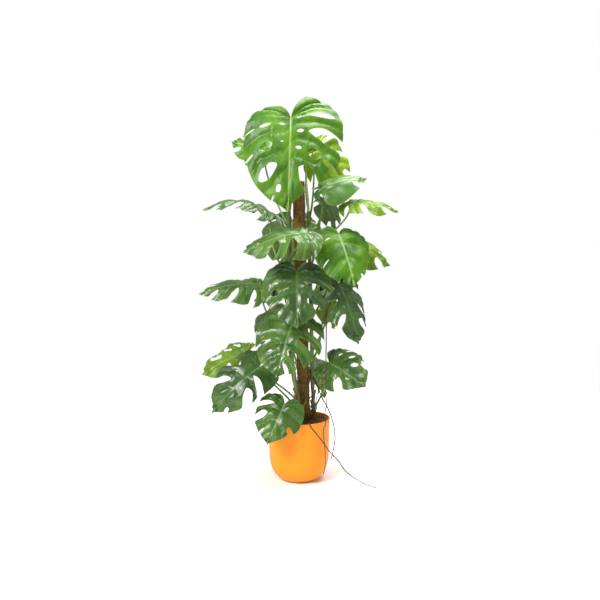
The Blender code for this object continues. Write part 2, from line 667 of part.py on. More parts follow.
def stalk_route(leaf):
    """The stalk leaves its stem rising outward and meets the blade from its underside."""
    foot = stem_point(leaf.stem, leaf.foot)
    span = (leaf.base - foot).length
    outward = Vector((leaf.base.x - foot.x, leaf.base.y - foot.y, 0.0)).normalized()
    leaving = (outward * leaf.lean + Vector((0.0, 0.0, 1.0))).normalized()
    arriving = (leaf.up - leaf.along * leaf.rise).normalized()
    end = leaf.base + arriving * STALK_SINK
    return interpolate_bezier(foot, foot + leaving * span * leaf.reach,
                              end - arriving * span * STALK_ARRIVING_REACH, end, STALK_STEPS)


def stem_tubes(materials, parts):
    stems = {}
    for name, (radius, points) in STEMS.items():
        route = smooth_route(points, STEM_STEPS)
        tube = tube_object(name, route, [radius] * len(route), materials["stem"], parts, STEM_FINENESS)
        stems[name] = mesh_from_tube(tube, parts)
    return stems


def stem_cutter(name, materials, tools):
    """The stem a contact gap larger, which trims the feet of its leaf stalks."""
    radius, points = STEMS[name]
    route = smooth_route(points, STEM_STEPS)
    tube = tube_object(f"{name}_clearance", route, [radius + SEAT_GAP] * len(route),
                       materials["stem"], tools, STEM_FINENESS)
    return as_tool(mesh_from_tube(tube, tools))


def make_leaf(leaf, materials, parts, tools, clearances):
    mesh = bpy.data.meshes.new(leaf.name)
    thicken(blade_sheet(leaf), mesh)
    blade = add_object(leaf.name, mesh, materials["leaf"], parts)
    route = stalk_route(leaf)
    radii = [leaf.stalk * (STALK_FOOT_SWELL - STALK_TAPER * i / (len(route) - 1))
             for i in range(len(route))]
    stalk = tube_object(f"{leaf.name}_stalk", route, radii, materials["leaf"], tools, 1)
    add_boolean(blade, as_tool(mesh_from_tube(stalk, tools)), "UNION", leaf.solver)
    add_boolean(blade, clearances[leaf.stem], "DIFFERENCE", leaf.solver)
    return blade


def make_pole(materials, parts):
    route = [pole_centre(z) for z in (POLE_FOOT_HEIGHT, POLE_TOP_HEIGHT)]
    radii = [POLE_RADIUS] * len(route)
    pole = tube_object("coir_pole", route, radii, materials["coir"], parts, POLE_FINENESS)
    return mesh_from_tube(pole, parts)


def make_ties(materials, parts):
    for number, height in enumerate(TIE_HEIGHTS, start=1):
        bpy.ops.mesh.primitive_torus_add(major_radius=POLE_RADIUS + TIE_RADIUS + CONTACT_GAP * 2.0,
                                         minor_radius=TIE_RADIUS, major_segments=16, minor_segments=4,
                                         location=pole_centre(height))
        tie = bpy.context.object
        tie.name = f"tie_wire_{number}"
        tie.data.materials.append(materials["wire"])
        for collection in list(tie.users_collection):
            collection.objects.unlink(tie)
        parts.objects.link(tie)


def make_soil(materials, parts, tools, uprights):
    soil = turned_object("soil", soil_profile(), materials["soil"], parts)
    for name, radius, points, fineness in uprights:
        points[0] = points[0] - Vector((0.0, 0.0, CONTACT_GAP))
        tool = tube_object(f"{name}_hole", points, [radius + HOLE_GAP] * len(points),
                           materials["soil"], tools, fineness)
        add_boolean(soil, as_tool(mesh_from_tube(tool, tools)), "DIFFERENCE")
    return soil


def make_roots(materials, parts, clearances):
    for name, (radius, points) in ROOTS.items():
        route = smooth_route(points, ROOT_STEPS)
        radii = [radius * (1.0 - ROOT_TAPER * i / (len(route) - 1)) for i in range(len(route))]
        tube = tube_object(name, route, radii, materials["root"], parts, ROOT_FINENESS)
        root = mesh_from_tube(tube, parts)
        if name in ROOT_STEMS:
            add_boolean(root, clearances[ROOT_STEMS[name]], "DIFFERENCE")


def make_spear(materials, parts):
    foot = Vector(SPEAR_FOOT)
    tip = Vector(SPEAR_TIP)
    route = [foot.lerp(tip, share) for share in SPEAR_SHARES]
    mesh_from_tube(tube_object("new_leaf_spear", route, [SPEAR_RADIUS * k for k in SPEAR_SWELL],
                               materials["leaf"], parts, 2), parts)


def build_plant():
    clear_scene()
    parts = make_collection("monstera_on_pole")
    tools = make_collection("cutters")
    materials = {
        "pot": make_material("orange_plastic", (0.95, 0.36, 0.03), 0.45),
        "soil": make_material("potting_soil", (0.035, 0.018, 0.011), 0.95),
        "coir": make_material("coir", (0.17, 0.055, 0.028), 0.95),
        "stem": make_material("green_stem", (0.10, 0.19, 0.03), 0.50),
        "leaf": make_material("leaf_green", (0.045, 0.17, 0.022), 0.35),
        "root": make_material("brown_root", (0.10, 0.05, 0.03), 0.80),
        "wire": make_material("dark_wire", (0.02, 0.02, 0.02), 0.50),
    }
    turned_object("pot", pot_profile(), materials["pot"], parts)
    make_pole(materials, parts)
    stem_tubes(materials, parts)
    sunk_pole = [pole_centre(z) for z in (POLE_FOOT_HEIGHT, ABOVE_SOIL)]
    uprights = [("coir_pole", POLE_RADIUS, sunk_pole, POLE_FINENESS)]
    for name, (radius, points) in STEMS.items():
        sunk_stem = smooth_route(points, STEM_STEPS)[:STEM_STEPS + 2]
        uprights.append((name, radius, sunk_stem, STEM_FINENESS))
    radius, points = ROOTS["aerial_root_1"]
    sunk_root = smooth_route(points, ROOT_STEPS)[:ROOT_STEPS + 2]
    uprights.append(("aerial_root_1", radius, sunk_root, ROOT_FINENESS))
    make_soil(materials, parts, tools, uprights)
    make_ties(materials, parts)
    clearances = {name: stem_cutter(name, materials, tools) for name in STEMS}
    for leaf in LEAVES:
        make_leaf(leaf, materials, parts, tools, clearances)
    make_roots(materials, parts, clearances)
    make_spear(materials, parts)


build_plant()
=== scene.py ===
"""Looks of a split-leaf monstera on a coir pole in a round plastic pot.

Metres, +Z up.  The origin is the middle of the pot's underside, +X is to the right
and the plant's best side faces -Y.
"""

import math
import random

import bmesh
import bpy
import numpy as np
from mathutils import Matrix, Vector
from mathutils.geometry import interpolate_bezier


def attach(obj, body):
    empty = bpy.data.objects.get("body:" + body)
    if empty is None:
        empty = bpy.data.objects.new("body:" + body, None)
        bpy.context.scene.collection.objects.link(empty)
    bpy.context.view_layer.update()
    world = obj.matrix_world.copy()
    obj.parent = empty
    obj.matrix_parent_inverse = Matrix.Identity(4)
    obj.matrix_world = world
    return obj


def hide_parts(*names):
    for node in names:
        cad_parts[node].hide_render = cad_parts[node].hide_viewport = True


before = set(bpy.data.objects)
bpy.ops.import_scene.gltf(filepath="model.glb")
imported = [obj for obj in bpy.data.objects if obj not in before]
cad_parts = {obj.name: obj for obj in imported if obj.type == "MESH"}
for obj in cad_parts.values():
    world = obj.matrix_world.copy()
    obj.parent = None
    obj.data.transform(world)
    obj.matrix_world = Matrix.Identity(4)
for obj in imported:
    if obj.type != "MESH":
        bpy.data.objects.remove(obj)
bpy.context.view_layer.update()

# Pot and soil
POT_HEIGHT = 0.270
POT_RIM_RADIUS = 0.1345
POT_SHOULDER_RADIUS = 0.1300
POT_SHOULDER_HEIGHT = 0.115
POT_BASE_RADIUS = 0.060
POT_WALL = 0.0045
LIP_RADIUS = 0.0016
POT_SIDE_TOP = 0.262
INNER_SIDE_HEIGHTS = (0.2535, 0.2)
SIDE_STEPS = 8
CORNER_STEPS = 22
LIP_STEPS = 6
TURN_STEPS = 144
SOIL_HEIGHT = 0.2525
SOIL_CROWN = 0.009
SOIL_EDGE_RADIUS = 0.1245
SOIL_GAP = 0.0008
SOIL_RINGS = 46
SOIL_STEPS = 120
SOIL_SIDE_HEIGHTS = (0.20, 0.15, 0.115, 0.08, 0.05, 0.03, 0.015, 0.006)
CRUMB_COUNT = 420
CRUMB_SIZES = (0.0016, 0.0052)

# Coir pole
POLE_RADIUS = 0.0265
POLE_FOOT_HEIGHT = 0.200
POLE_TOP_HEIGHT = 1.285
POLE_X_AT_SOIL = 0.022
POLE_LEAN = -0.0240
POLE_STEPS = 72
POLE_RINGS = 300
POLE_SKIN = 0.0012
FIBRE_COUNT = 1500
FIBRE_LOWEST = 0.262
FIBRE_LENGTHS = (0.018, 0.060)
FIBRE_RADII = (0.00025, 0.00055)
FIBRE_THINNING = (1.0, 1.0, 1.0, 1.0, 0.8, 0.4)
TIE_HEIGHTS = (0.425, 0.760, 1.080)
WIRE_RADIUS = 0.0008

# Leaf blades
SINUS_ANGLE = 0.10
FIRST_VEIN = 0.20
VEIN_BOW = 0.10
VEIN_GATHER = 1.5
FIRST_SLIT = 0.25
LAST_SLIT = 0.80
SLIT_SHIFT = 0.018
SLIT_START = (0.27, 0.37)
SLIT_SHARE = (0.09, 0.15)
OPEN = 2.0
HOOK_CUT = -0.030
HOOK_WIDTH = 0.030
SHOULDER_CUT = 0.150
SHOULDER_WIDTH = 0.050
FULL_CUT_WIDTH = 0.030
TIP_POINT = 0.045
TIP_SPREAD = 0.055
CORNER_START = 0.5
TIP_NARROWING = 0.3
TAPER_START = 0.50
TAPER_SPREAD = 0.45
COLUMNS = 10
ROWS = (0.0, 0.010, 0.024, 0.045, 0.08, 0.13, 0.19, 0.25, 0.32, 0.38, 0.45, 0.52, 0.59, 0.66, 0.73, 0.80,
        0.87, 0.93, 0.97, 0.99, 1.0)
ROW_OFFSETS = (0.0, 0.004, 0.012, 0.026)
LEAST_ROW_STEP = 0.0035
BLADE_THICKNESS = 0.0009

# Relief of the blades: heights and depths, then the widths they fade over
FINGER_DROP = 0.034
FINGER_DROP_BELOW = 0.012
VEIN_GROOVE = 0.0014
VEIN_GROOVE_WIDTH = 0.0026
PILLOW = 0.0030
PILLOW_WIDTH = 0.008
TROUGH_SLOPE = 0.24
TROUGH_REACH = 0.022
RIB_TROUGH = 0.0022
RIB_TROUGH_WIDTH = 0.012
SWELL = 0.0022
SWELL_SIZE = 0.080
FINE_SWELL = 0.0007
FINE_SWELL_SIZE = 0.024

# Stalks, and the midribs that they run on as
STALK_SINK = 0.0020
STALK_STEPS = 40
KNEE_SWELL = 0.16
KNEE_PLACE = 0.95
KNEE_SPREAD = 0.035
KNEE_HANDLE = 0.55
FOOT_SWELL = 0.55
FOOT_REACH = 0.018
RIB_RADIUS = 0.0025
RIB_LEAF_LENGTH = 0.30
LEAST_RIB_RADIUS = 0.0003
RIB_START = 0.045
RIB_END = 0.95
RIB_STEPS = 26

# Climbing stems, with dry sheaths at their nodes and stubs of old stalks
LOWEST_NODE = 0.285
NODE_STEPS = (0.055, 0.085)
NODE_CLEARANCE = 0.030
DRY_BELOW = 0.47
DRY_SHARE = 0.30
LOWEST_SHEATH = 0.268
SHEATH_LENGTHS = (0.022, 0.055)
SHEATH_ROWS = 12
SHEATH_COLUMNS = 13
SHEATH_HALF_THICKNESS = 0.00025
DEAD_STALKS = {"stem_left": 9, "stem_right": 5, "stem_back": 4}
DEAD_STALK_FEET = (0.262, 0.310)
DEAD_STALK_LENGTHS = (0.035, 0.095)
DEAD_STALK_RADII = (0.0022, 0.0042)

STEMS = {
    "stem_left": (0.0095, ((0.004, -0.052, 0.060), (0.004, -0.052, 0.290), (-0.018, -0.049, 0.440),
                           (-0.037, -0.036, 0.600), (-0.041, -0.018, 0.820), (-0.042, -0.012, 1.000),
                           (-0.044, -0.010, 1.200))),
    "stem_right": (0.0080, ((0.064, 0.004, 0.060), (0.062, 0.004, 0.300), (0.055, 0.004, 0.600),
                            (0.047, 0.004, 0.900), (0.040, 0.004, 1.160))),
    "stem_back": (0.0080, ((0.018, 0.050, 0.060), (0.016, 0.046, 0.300), (0.010, 0.042, 0.600),
                           (0.002, 0.042, 0.900), (-0.002, 0.042, 1.080))),
}

ROOTS = {
    "aerial_root_1": (0.0031, ((0.030, -0.094, 0.232), (0.032, -0.103, 0.258), (0.036, -0.118, 0.2718),
                               (0.040, -0.130, 0.2750), (0.045, -0.141, 0.271), (0.056, -0.152, 0.256),
                               (0.087, -0.160, 0.221), (0.110, -0.164, 0.189), (0.131, -0.165, 0.160),
                               (0.162, -0.165, 0.128), (0.192, -0.165, 0.084), (0.236, -0.163, 0.048),
                               (0.275, -0.160, 0.0245), (0.308, -0.155, 0.0115), (0.327, -0.150, 0.0020))),
    "aerial_root_2": (0.0032, ((0.0588, 0.004, 0.452), (0.070, -0.022, 0.430), (0.084, -0.038, 0.400),
                               (0.100, -0.046, 0.363), (0.127, -0.055, 0.314), (0.146, -0.062, 0.260),
                               (0.154, -0.068, 0.205), (0.150, -0.074, 0.162), (0.142, -0.082, 0.129),
                               (0.134, -0.092, 0.103))),
    "aerial_root_3": (0.0024, ((0.0492, 0.004, 0.816), (0.078, -0.034, 0.815), (0.108, -0.050, 0.790),
                               (0.115, -0.060, 0.686), (0.113, -0.110, 0.567), (0.112, -0.130, 0.403),
                               (0.115, -0.130, 0.361), (0.109, -0.134, 0.319), (0.112, -0.138, 0.281),
                               (0.102, -0.142, 0.250), (0.104, -0.140, 0.213), (0.109, -0.134, 0.166),
                               (0.111, -0.126, 0.117), (0.108, -0.122, 0.075), (0.100, -0.118, 0.042))),
}
ROOT_TAPER = 0.45
SPEAR_FOOT = (0.040, 0.004, 1.1605)
SPEAR_TIP = (0.030, 0.006, 1.375)
SPEAR_RADIUS = 0.0070
SPEAR_POINTS = 60
SPEAR_BEND = (-0.004, -0.002, 0.0)

# Stage
FLOOR_RADIUS = 2.6
FLOOR_DROP = 0.0004
SKY_AS_LIGHT = 0.66
SKY_OVERHEAD = 0.55
SKY_FADE = (0.40, 0.65)
LIGHT_TARGET = (0.0, 0.0, 0.8)
LIGHTS = (("key", (-2.4, -2.6, 3.2), 1.5, 205.0), ("top", (0.5, 0.2, 3.4), 1.8, 150.0))
CAMERA_PLACE = (0.0043, -3.6, 1.15)
CAMERA_DIP = 5.84
CAMERA_LENS = 50.7
SENSOR_WIDTH = 36.0


class Leaf:
    """One leaf: where its blade hangs, how it is cut and bent, its stalk, and its colours."""

    def __init__(self, name, base, tip, faces, width, lobes, sag, fold, curl, stem, foot,
                 cut=1.15, basal=(0.20, 0.20), halves=(1.0, 1.0), wave=0.05,
                 stalk=0.0036, lean=0.7, reach=0.4, rise=0.35, taper=(0.0, 0.0), mouth=0.9,
                 slits=None, tone="mid"):
        self.name = name
        self.base = Vector(base)
        self.tip = Vector(tip)
        self.width = width
        self.lobes = lobes
        self.sag = sag
        self.fold = math.radians(fold)
        self.curl = math.radians(curl)
        self.stem = stem
        self.foot = foot
        self.basal = basal
        self.halves = halves
        self.wave = wave
        self.stalk = stalk
        self.lean = lean
        self.reach = reach
        self.rise = rise
        self.taper = taper
        self.mouth = mouth
        self.tone = tone
        self.length = (self.tip - self.base).length
        self.along = (self.tip - self.base).normalized()
        self.side = self.along.cross(Vector(faces)).normalized()
        self.up = self.side.cross(self.along).normalized()
        draw = random.Random(name)
        self.phase = [draw.uniform(0.0, math.tau) for _ in range(2)]
        self.slits = slits or [self.drawn_slits(draw, cut) for _ in range(2)]
        self.shared = [(first[0] + second[0]) / 2.0 for first, second in zip(*self.slits)]

    def drawn_slits(self, draw, cut):
        """Seeded slits: each has its place and its openings (start, end, half width)."""
        count = self.lobes - 1
        pitch = (LAST_SLIT - FIRST_SLIT) / max(count - 1, 1)
        slits = []
        for k in range(count):
            place = FIRST_SLIT + pitch * k + draw.uniform(-SLIT_SHIFT, SLIT_SHIFT)
            start = draw.uniform(*SLIT_START)
            width = cut * pitch * draw.uniform(*SLIT_SHARE)
            slits.append((place, ((start, OPEN, width),)))
        return slits


# Slits of the right and left halves: place, then openings (start, end, half width)
TOP_LEAF_SLITS = (
    ((0.270, ((0.10, 0.22, 0.014), (0.34, 0.86, 0.026))),
     (0.440, ((0.10, 0.22, 0.017), (0.30, OPEN, 0.055))),
     (0.585, ((0.10, 0.22, 0.013), (0.34, 0.66, 0.032), (0.72, OPEN, 0.016))),
     (0.710, ((0.30, OPEN, 0.050),))),
    ((0.355, ((0.10, 0.22, 0.013), (0.38, 0.62, 0.018), (0.72, OPEN, 0.008))),
     (0.535, ((0.12, 0.18, 0.006), (0.34, 0.64, 0.034), (0.76, OPEN, 0.009))),
     (0.695, ((0.30, 0.88, 0.045),)),
     (0.835, ((0.34, 0.62, 0.024), (0.74, OPEN, 0.007)))),
)
CENTRE_LEAF_SLITS = (
    ((0.400, ()),
     (0.515, ((0.16, 0.24, 0.012), (0.30, OPEN, 0.050))),
     (0.680, ((0.17, 0.25, 0.012), (0.36, 0.62, 0.028), (0.68, OPEN, 0.022)))),
    ((0.430, ((0.46, 0.62, 0.022), (0.72, OPEN, 0.006))),
     (0.560, ((0.50, 0.76, 0.032),)),
     (0.700, ((0.34, OPEN, 0.034),))),
)
LOWER_LEAF_SLITS = (
    ((0.370, ((0.32, OPEN, 0.032),)),
     (0.535, ((0.28, OPEN, 0.034),)),
     (0.730, ((0.15, OPEN, 0.038),)),
     (0.865, ((0.20, OPEN, 0.022),))),
    ((0.470, ((0.45, OPEN, 0.010),)),
     (0.595, ((0.32, OPEN, 0.013),)),
     (0.710, ((0.24, 0.60, 0.014),)),
     (0.850, ())),
)
RIM_LEAF_SLITS = (
    ((0.300, ()),
     (0.620, ((0.62, OPEN, 0.030),)),
     (0.800, ())),
    ((0.370, ((0.30, OPEN, 0.045),)),
     (0.560, ((0.42, OPEN, 0.060),)),
     (0.760, ((0.60, OPEN, 0.010),))),
)
FAR_LEFT_SLITS = (
    ((0.300, ((0.40, OPEN, 0.030),)),
     (0.450, ((0.30, OPEN, 0.050),)),
     (0.640, ((0.25, OPEN, 0.045),))),
    ((0.400, ((0.30, 0.80, 0.034),)),
     (0.540, ((0.28, 0.80, 0.034),)),
     (0.720, ((0.22, 0.88, 0.060),))),
)
LOWER_LEFT_SLITS = (
    ((0.440, ((0.14, OPEN, 0.038),)),
     (0.585, ((0.34, OPEN, 0.055),)),
     (0.800, ((0.72, OPEN, 0.022),))),
    ((0.450, ((0.42, OPEN, 0.048),)),
     (0.645, ((0.30, OPEN, 0.036),)),
     (0.800, ())),
)
LOWER_RIGHT_SLITS = (
    ((0.380, ((0.34, 0.50, 0.020), (0.72, OPEN, 0.034))),
     (0.520, ((0.50, 0.76, 0.018),)),
     (0.660, ((0.30, 0.66, 0.036), (0.78, OPEN, 0.070)))),
    ((0.380, ((0.34, OPEN, 0.032),)),
     (0.600, ((0.38, OPEN, 0.052),)),
     (0.780, ())),
)
HANGING_LEAF_SLITS = (
    ((0.400, ((0.40, OPEN, 0.040),)),
     (0.600, ((0.36, OPEN, 0.024),)),
     (0.760, ((0.34, OPEN, 0.040),))),
    ((0.340, ((0.30, OPEN, 0.055),)),
     (0.500, ((0.36, OPEN, 0.036),)),
     (0.680, ((0.34, OPEN, 0.034),))),
)
RIGHT_FACE_SLITS = (
    ((0.360, ()),
     (0.600, ((0.72, OPEN, 0.012),)),
     (0.800, ((0.84, OPEN, 0.016),))),
    ((0.360, ((0.30, 0.55, 0.016),)),
     (0.600, ((0.60, OPEN, 0.009),)),
     (0.840, ((0.80, OPEN, 0.020),))),
)
MIDDLE_LEFT_SLITS = (
    ((0.310, ((0.45, OPEN, 0.012),)),
     (0.500, ((0.24, OPEN, 0.045),)),
     (0.670, ((0.22, OPEN, 0.045),))),
    ((0.310, ((0.40, OPEN, 0.020),)),
     (0.500, ((0.35, OPEN, 0.026),)),
     (0.670, ((0.35, OPEN, 0.026),))),
)

LEAVES = (
    Leaf("leaf_01_top", (-0.033, -0.070, 1.541), (-0.045, -0.160, 1.172), (0.04, -0.95, 0.30),
         1.12, 5, 0.06, -4, 26, "stem_left", 1.120, basal=(0.285, 0.150), halves=(1.08, 0.92),
         wave=0.03, taper=(0.8, 0.0), mouth=0.8, slits=TOP_LEAF_SLITS, tone="bright"),
    Leaf("leaf_02_upper_left", (-0.143, 0.085, 1.414), (-0.286, 0.120, 1.457), (-0.20, -0.80, 0.50),
         1.10, 4, 0.06, -4, 24, "stem_back", 1.020, tone="bright"),
    # This leaf's tone paints light shining through it where it hangs in shade
    Leaf("leaf_03_young", (0.081, 0.078, 1.421), (0.208, 0.130, 1.259), (0.20, -0.85, 0.45),
         1.10, 4, 0.05, -2, 20, "stem_right", 1.120, cut=1.4, tone="lime"),
    # This level leaf's tone paints a grey sheen into its colours
    Leaf("leaf_04_upper_right", (0.093, -0.030, 1.257), (0.275, -0.020, 1.292), (-0.10, -0.55, 0.82),
         1.05, 3, 0.08, -6, 44, "stem_right", 1.030, cut=0.6, tone="pale"),
    Leaf("leaf_05_far_right", (0.214, -0.020, 1.194), (0.405, -0.050, 1.157), (0.0, -0.34, 0.94),
         0.85, 4, 0.10, -6, 34, "stem_right", 0.970, cut=1.5, tone="young"),
    Leaf("leaf_06_shaded", (0.115, 0.060, 1.200), (0.151, 0.083, 1.074), (0.45, 0.60, 0.45),
         0.95, 3, 0.08, -4, 30, "stem_right", 0.920, tone="deep"),
    Leaf("leaf_07_level_left", (-0.110, 0.000, 1.152), (-0.392, -0.030, 1.165), (0.0, -0.08, 1.0),
         0.80, 5, 0.16, -6, 28, "stem_left", 0.870, cut=1.5),
    Leaf("leaf_08_middle_left", (0.030, -0.175, 1.076), (-0.212, -0.195, 0.994), (0.05, -0.46, 0.88),
         1.00, 4, 0.08, -6, 38, "stem_left", 0.950, slits=MIDDLE_LEFT_SLITS),
    Leaf("leaf_09_right_face", (0.166, -0.090, 1.066), (0.222, -0.200, 0.867), (0.10, -0.80, 0.55),
         1.05, 4, 0.06, -4, 26, "stem_right", 0.760, basal=(0.10, 0.20), halves=(0.88, 1.0),
         taper=(0.10, -0.25), slits=RIGHT_FACE_SLITS, tone="bright"),
    Leaf("leaf_10_right_behind", (0.195, 0.045, 1.035), (0.385, 0.070, 0.928), (0.25, -0.60, 0.75),
         0.95, 4, 0.08, -6, 30, "stem_right", 0.700, cut=1.4, tone="young"),
    Leaf("leaf_11_level_left", (-0.157, -0.020, 0.852), (-0.408, -0.060, 0.813), (-0.10, -0.45, 0.90),
         0.85, 5, 0.08, -6, 38, "stem_left", 0.560, cut=1.4),
    Leaf("leaf_12_curled", (-0.085, 0.050, 0.865), (-0.190, 0.090, 0.770), (-0.30, -0.60, 0.70),
         0.95, 3, 0.08, -4, 34, "stem_back", 0.560, tone="young"),
    Leaf("leaf_13_centre", (-0.009, -0.100, 0.909), (-0.008, -0.190, 0.695), (0.0, -0.90, 0.42),
         1.25, 4, 0.06, -4, 28, "stem_left", 0.540, taper=(0.30, 0.0), slits=CENTRE_LEAF_SLITS,
         tone="deep"),
    Leaf("leaf_14_right_hanging", (0.172, -0.040, 0.854), (0.243, -0.100, 0.617), (0.50, -0.75, 0.42),
         0.95, 4, 0.06, -4, 30, "stem_right", 0.560, halves=(1.0, 0.85), slits=HANGING_LEAF_SLITS,
         tone="deep"),
    Leaf("leaf_15_small", (0.115, 0.000, 0.765), (0.151, 0.030, 0.657), (0.10, -0.80, 0.55),
         0.90, 3, 0.06, -4, 24, "stem_right", 0.520, tone="young"),
    Leaf("leaf_16_lower_centre", (-0.026, -0.105, 0.700), (-0.090, -0.205, 0.495), (-0.05, -0.75, 0.62),
         1.25, 5, 0.06, -4, 28, "stem_left", 0.380, slits=LOWER_LEAF_SLITS),
    Leaf("leaf_17_far_left", (-0.222, 0.035, 0.551), (-0.408, 0.005, 0.457), (-0.20, -0.60, 0.78),
         1.00, 4, 0.08, -6, 32, "stem_left", 0.300, halves=(0.85, 1.25), slits=FAR_LEFT_SLITS,
         tone="young"),
    Leaf("leaf_18_lower_left", (-0.168, -0.100, 0.508), (-0.352, -0.150, 0.335), (-0.12, -0.85, 0.50),
         1.00, 4, 0.12, -4, 30, "stem_left", 0.345, halves=(0.82, 1.0), taper=(0.0, 0.25),
         slits=LOWER_LEFT_SLITS, tone="deep"),
    Leaf("leaf_19_lower_right", (0.130, -0.065, 0.522), (0.270, -0.125, 0.431), (0.12, -0.80, 0.55),
         1.25, 4, 0.06, -4, 30, "stem_right", 0.300, halves=(1.22, 0.92), taper=(0.0, 0.45),
         slits=LOWER_RIGHT_SLITS, tone="mid"),
    Leaf("leaf_20_small_low", (0.057, 0.072, 0.455), (0.110, 0.055, 0.347), (0.30, -0.75, 0.55),
         1.35, 5, 0.08, -4, 24, "stem_right", 0.320, cut=2.2, basal=(0.05, 0.12),
         halves=(0.85, 0.42), tone="young"),
    Leaf("leaf_21_over_rim", (-0.060, -0.125, 0.356), (-0.128, -0.200, 0.210), (-0.10, -0.88, 0.45),
         1.15, 4, 0.06, -4, 30, "stem_left", 0.270, halves=(0.95, 1.20), taper=(0.45, 0.30),
         slits=RIM_LEAF_SLITS),
    Leaf("leaf_22_back_upper", (-0.030, 0.155, 1.120), (-0.050, 0.305, 0.900), (-0.05, 0.80, 0.55),
         1.00, 4, 0.06, -4, 26, "stem_back", 0.840, cut=1.3),
    Leaf("leaf_23_back_lower", (-0.060, 0.120, 0.727), (-0.110, 0.270, 0.520), (-0.25, 0.80, 0.55),
         1.05, 4, 0.06, -4, 26, "stem_back", 0.440, cut=1.3, tone="deep"),
    Leaf("leaf_24_back_right", (0.090, 0.150, 0.870), (0.170, 0.280, 0.690), (0.45, 0.70, 0.55),
         1.00, 4, 0.06, -4, 26, "stem_back", 0.640, cut=1.3),
    Leaf("leaf_25_back_low", (0.060, 0.120, 0.500), (0.130, 0.250, 0.370), (0.35, 0.75, 0.55),
         1.00, 4, 0.06, -4, 26, "stem_back", 0.300, cut=1.3, tone="deep"),
)

# Leaf colours: light, dark, underside, and veins
TONES = {
    "bright": ((0.090, 0.225, 0.008), (0.026, 0.105, 0.003), (0.15, 0.27, 0.05), (0.27, 0.41, 0.10)),
    # The next tone is the bright one with grey mixed into every colour: a painted sheen for a level leaf
    "pale": ((0.100, 0.235, 0.030), (0.034, 0.115, 0.012), (0.16, 0.28, 0.07), (0.27, 0.41, 0.12)),
    "young": ((0.175, 0.300, 0.008), (0.070, 0.150, 0.004), (0.19, 0.30, 0.04), (0.27, 0.38, 0.07)),
    # The next tone is the young one made lighter: painted light shining through a shaded young leaf
    "lime": ((0.260, 0.430, 0.010), (0.110, 0.240, 0.005), (0.26, 0.40, 0.04), (0.36, 0.50, 0.09)),
    "mid": ((0.080, 0.180, 0.020), (0.021, 0.070, 0.006), (0.14, 0.25, 0.06), (0.19, 0.31, 0.10)),
    "deep": ((0.062, 0.140, 0.020), (0.014, 0.050, 0.006), (0.11, 0.20, 0.05), (0.14, 0.25, 0.07)),
}
# Leaf gloss: how mirror-like, least and most roughness, then how strong veins and midrib show
GLOSS = {
    "bright": (0.34, 0.32, 0.48, 0.75, 0.80),
    "pale": (0.64, 0.28, 0.44, 0.65, 0.75),
    "young": (0.35, 0.34, 0.48, 0.65, 0.75),
    "lime": (0.35, 0.34, 0.48, 0.65, 0.75),
    "mid": (0.62, 0.24, 0.42, 0.55, 0.65),
    "deep": (0.70, 0.23, 0.40, 0.50, 0.60),
}
# Dark and light colours of everything but the blades
SHADES = {
    "stalk": ((0.075, 0.145, 0.018), (0.19, 0.30, 0.045)),
    "stem": ((0.050, 0.085, 0.014), (0.15, 0.22, 0.040)),
    "sheath": ((0.060, 0.030, 0.014), (0.20, 0.115, 0.050)),
    "coir": ((0.058, 0.022, 0.005), (0.28, 0.120, 0.022)),
    "fibre": ((0.080, 0.032, 0.008), (0.34, 0.170, 0.045)),
    "pot": ((0.850, 0.262, 0.008), (0.885, 0.280, 0.009)),
    "soil": ((0.045, 0.021, 0.012), (0.210, 0.098, 0.052)),
    "crumb": ((0.085, 0.040, 0.022), (0.290, 0.145, 0.082)),
    "root": ((0.038, 0.017, 0.008), (0.120, 0.060, 0.028)),
    "wire": ((0.012, 0.016, 0.010), (0.045, 0.055, 0.035)),
    "spear": ((0.20, 0.34, 0.045), (0.40, 0.54, 0.12)),
    "floor": ((0.975, 0.975, 0.975), (1.0, 1.0, 1.0)),
}
PALE_EDGE = (0.30, 0.38, 0.08)
WORN_EDGE = (0.16, 0.10, 0.03)
VEIN_BELOW = (0.40, 0.52, 0.22)
LIGHT_THROUGH = (0.42, 0.62, 0.04)
LIGHT_THROUGH_SHARE = 0.22
STALK_FOOT = (0.075, 0.060, 0.018)
STALK_SPECKLE = (0.32, 0.38, 0.12)
DRY_BARK = (0.105, 0.062, 0.024)
NODE_RING = (0.16, 0.12, 0.045)
GREEN_SHEATH = (0.10, 0.13, 0.03)
MOSSY_COIR = (0.085, 0.100, 0.010)
# Pale flecks on the coir: a painted sheen on its fibres
PAINTED_COIR_SHEEN = (0.36, 0.21, 0.07)
DUST = (0.95, 0.45, 0.08)
WET_SOIL = (0.030, 0.014, 0.007)
GREEN_ROOT = (0.070, 0.058, 0.018)
DRY_SPEAR_TIP = (0.30, 0.28, 0.08)

# Distances over which lines on a blade fade out
VEIN_HALO = (0.0008, 0.0075)
VEIN_LINE = (0.0003, 0.0013)
VEIN_LINE_BELOW = (0.0004, 0.0016)
RIB_LINE = (0.0016, 0.0058)
EDGE_LINE = (0.0002, 0.0016)
WORN_WIDTH = (0.001, 0.012)

# Numbered sockets of a colour mix
MIX_FIRST = 6
MIX_SECOND = 7
MIX_RESULT = 2

POINT_VALUES = ("vein", "fan", "rib", "edge", "under", "along")


class Shape:
    """Points, faces and values at the points, gathered for one mesh."""

    def __init__(self):
        self.points = []
        self.faces = []
        self.slots = []
        self.values = {name: [] for name in POINT_VALUES}
        self.count = 0

    def add(self, points, faces, slot=0, **values):
        points = np.asarray(points, float).reshape(-1, 3)
        self.points.append(points)
        self.faces += [tuple(int(i) + self.count for i in face) for face in faces]
        self.slots += [slot] * len(faces)
        for name in POINT_VALUES:
            given = values.get(name, 0.0)
            self.values[name].append(np.broadcast_to(np.asarray(given, float), (len(points),)))
        self.count += len(points)


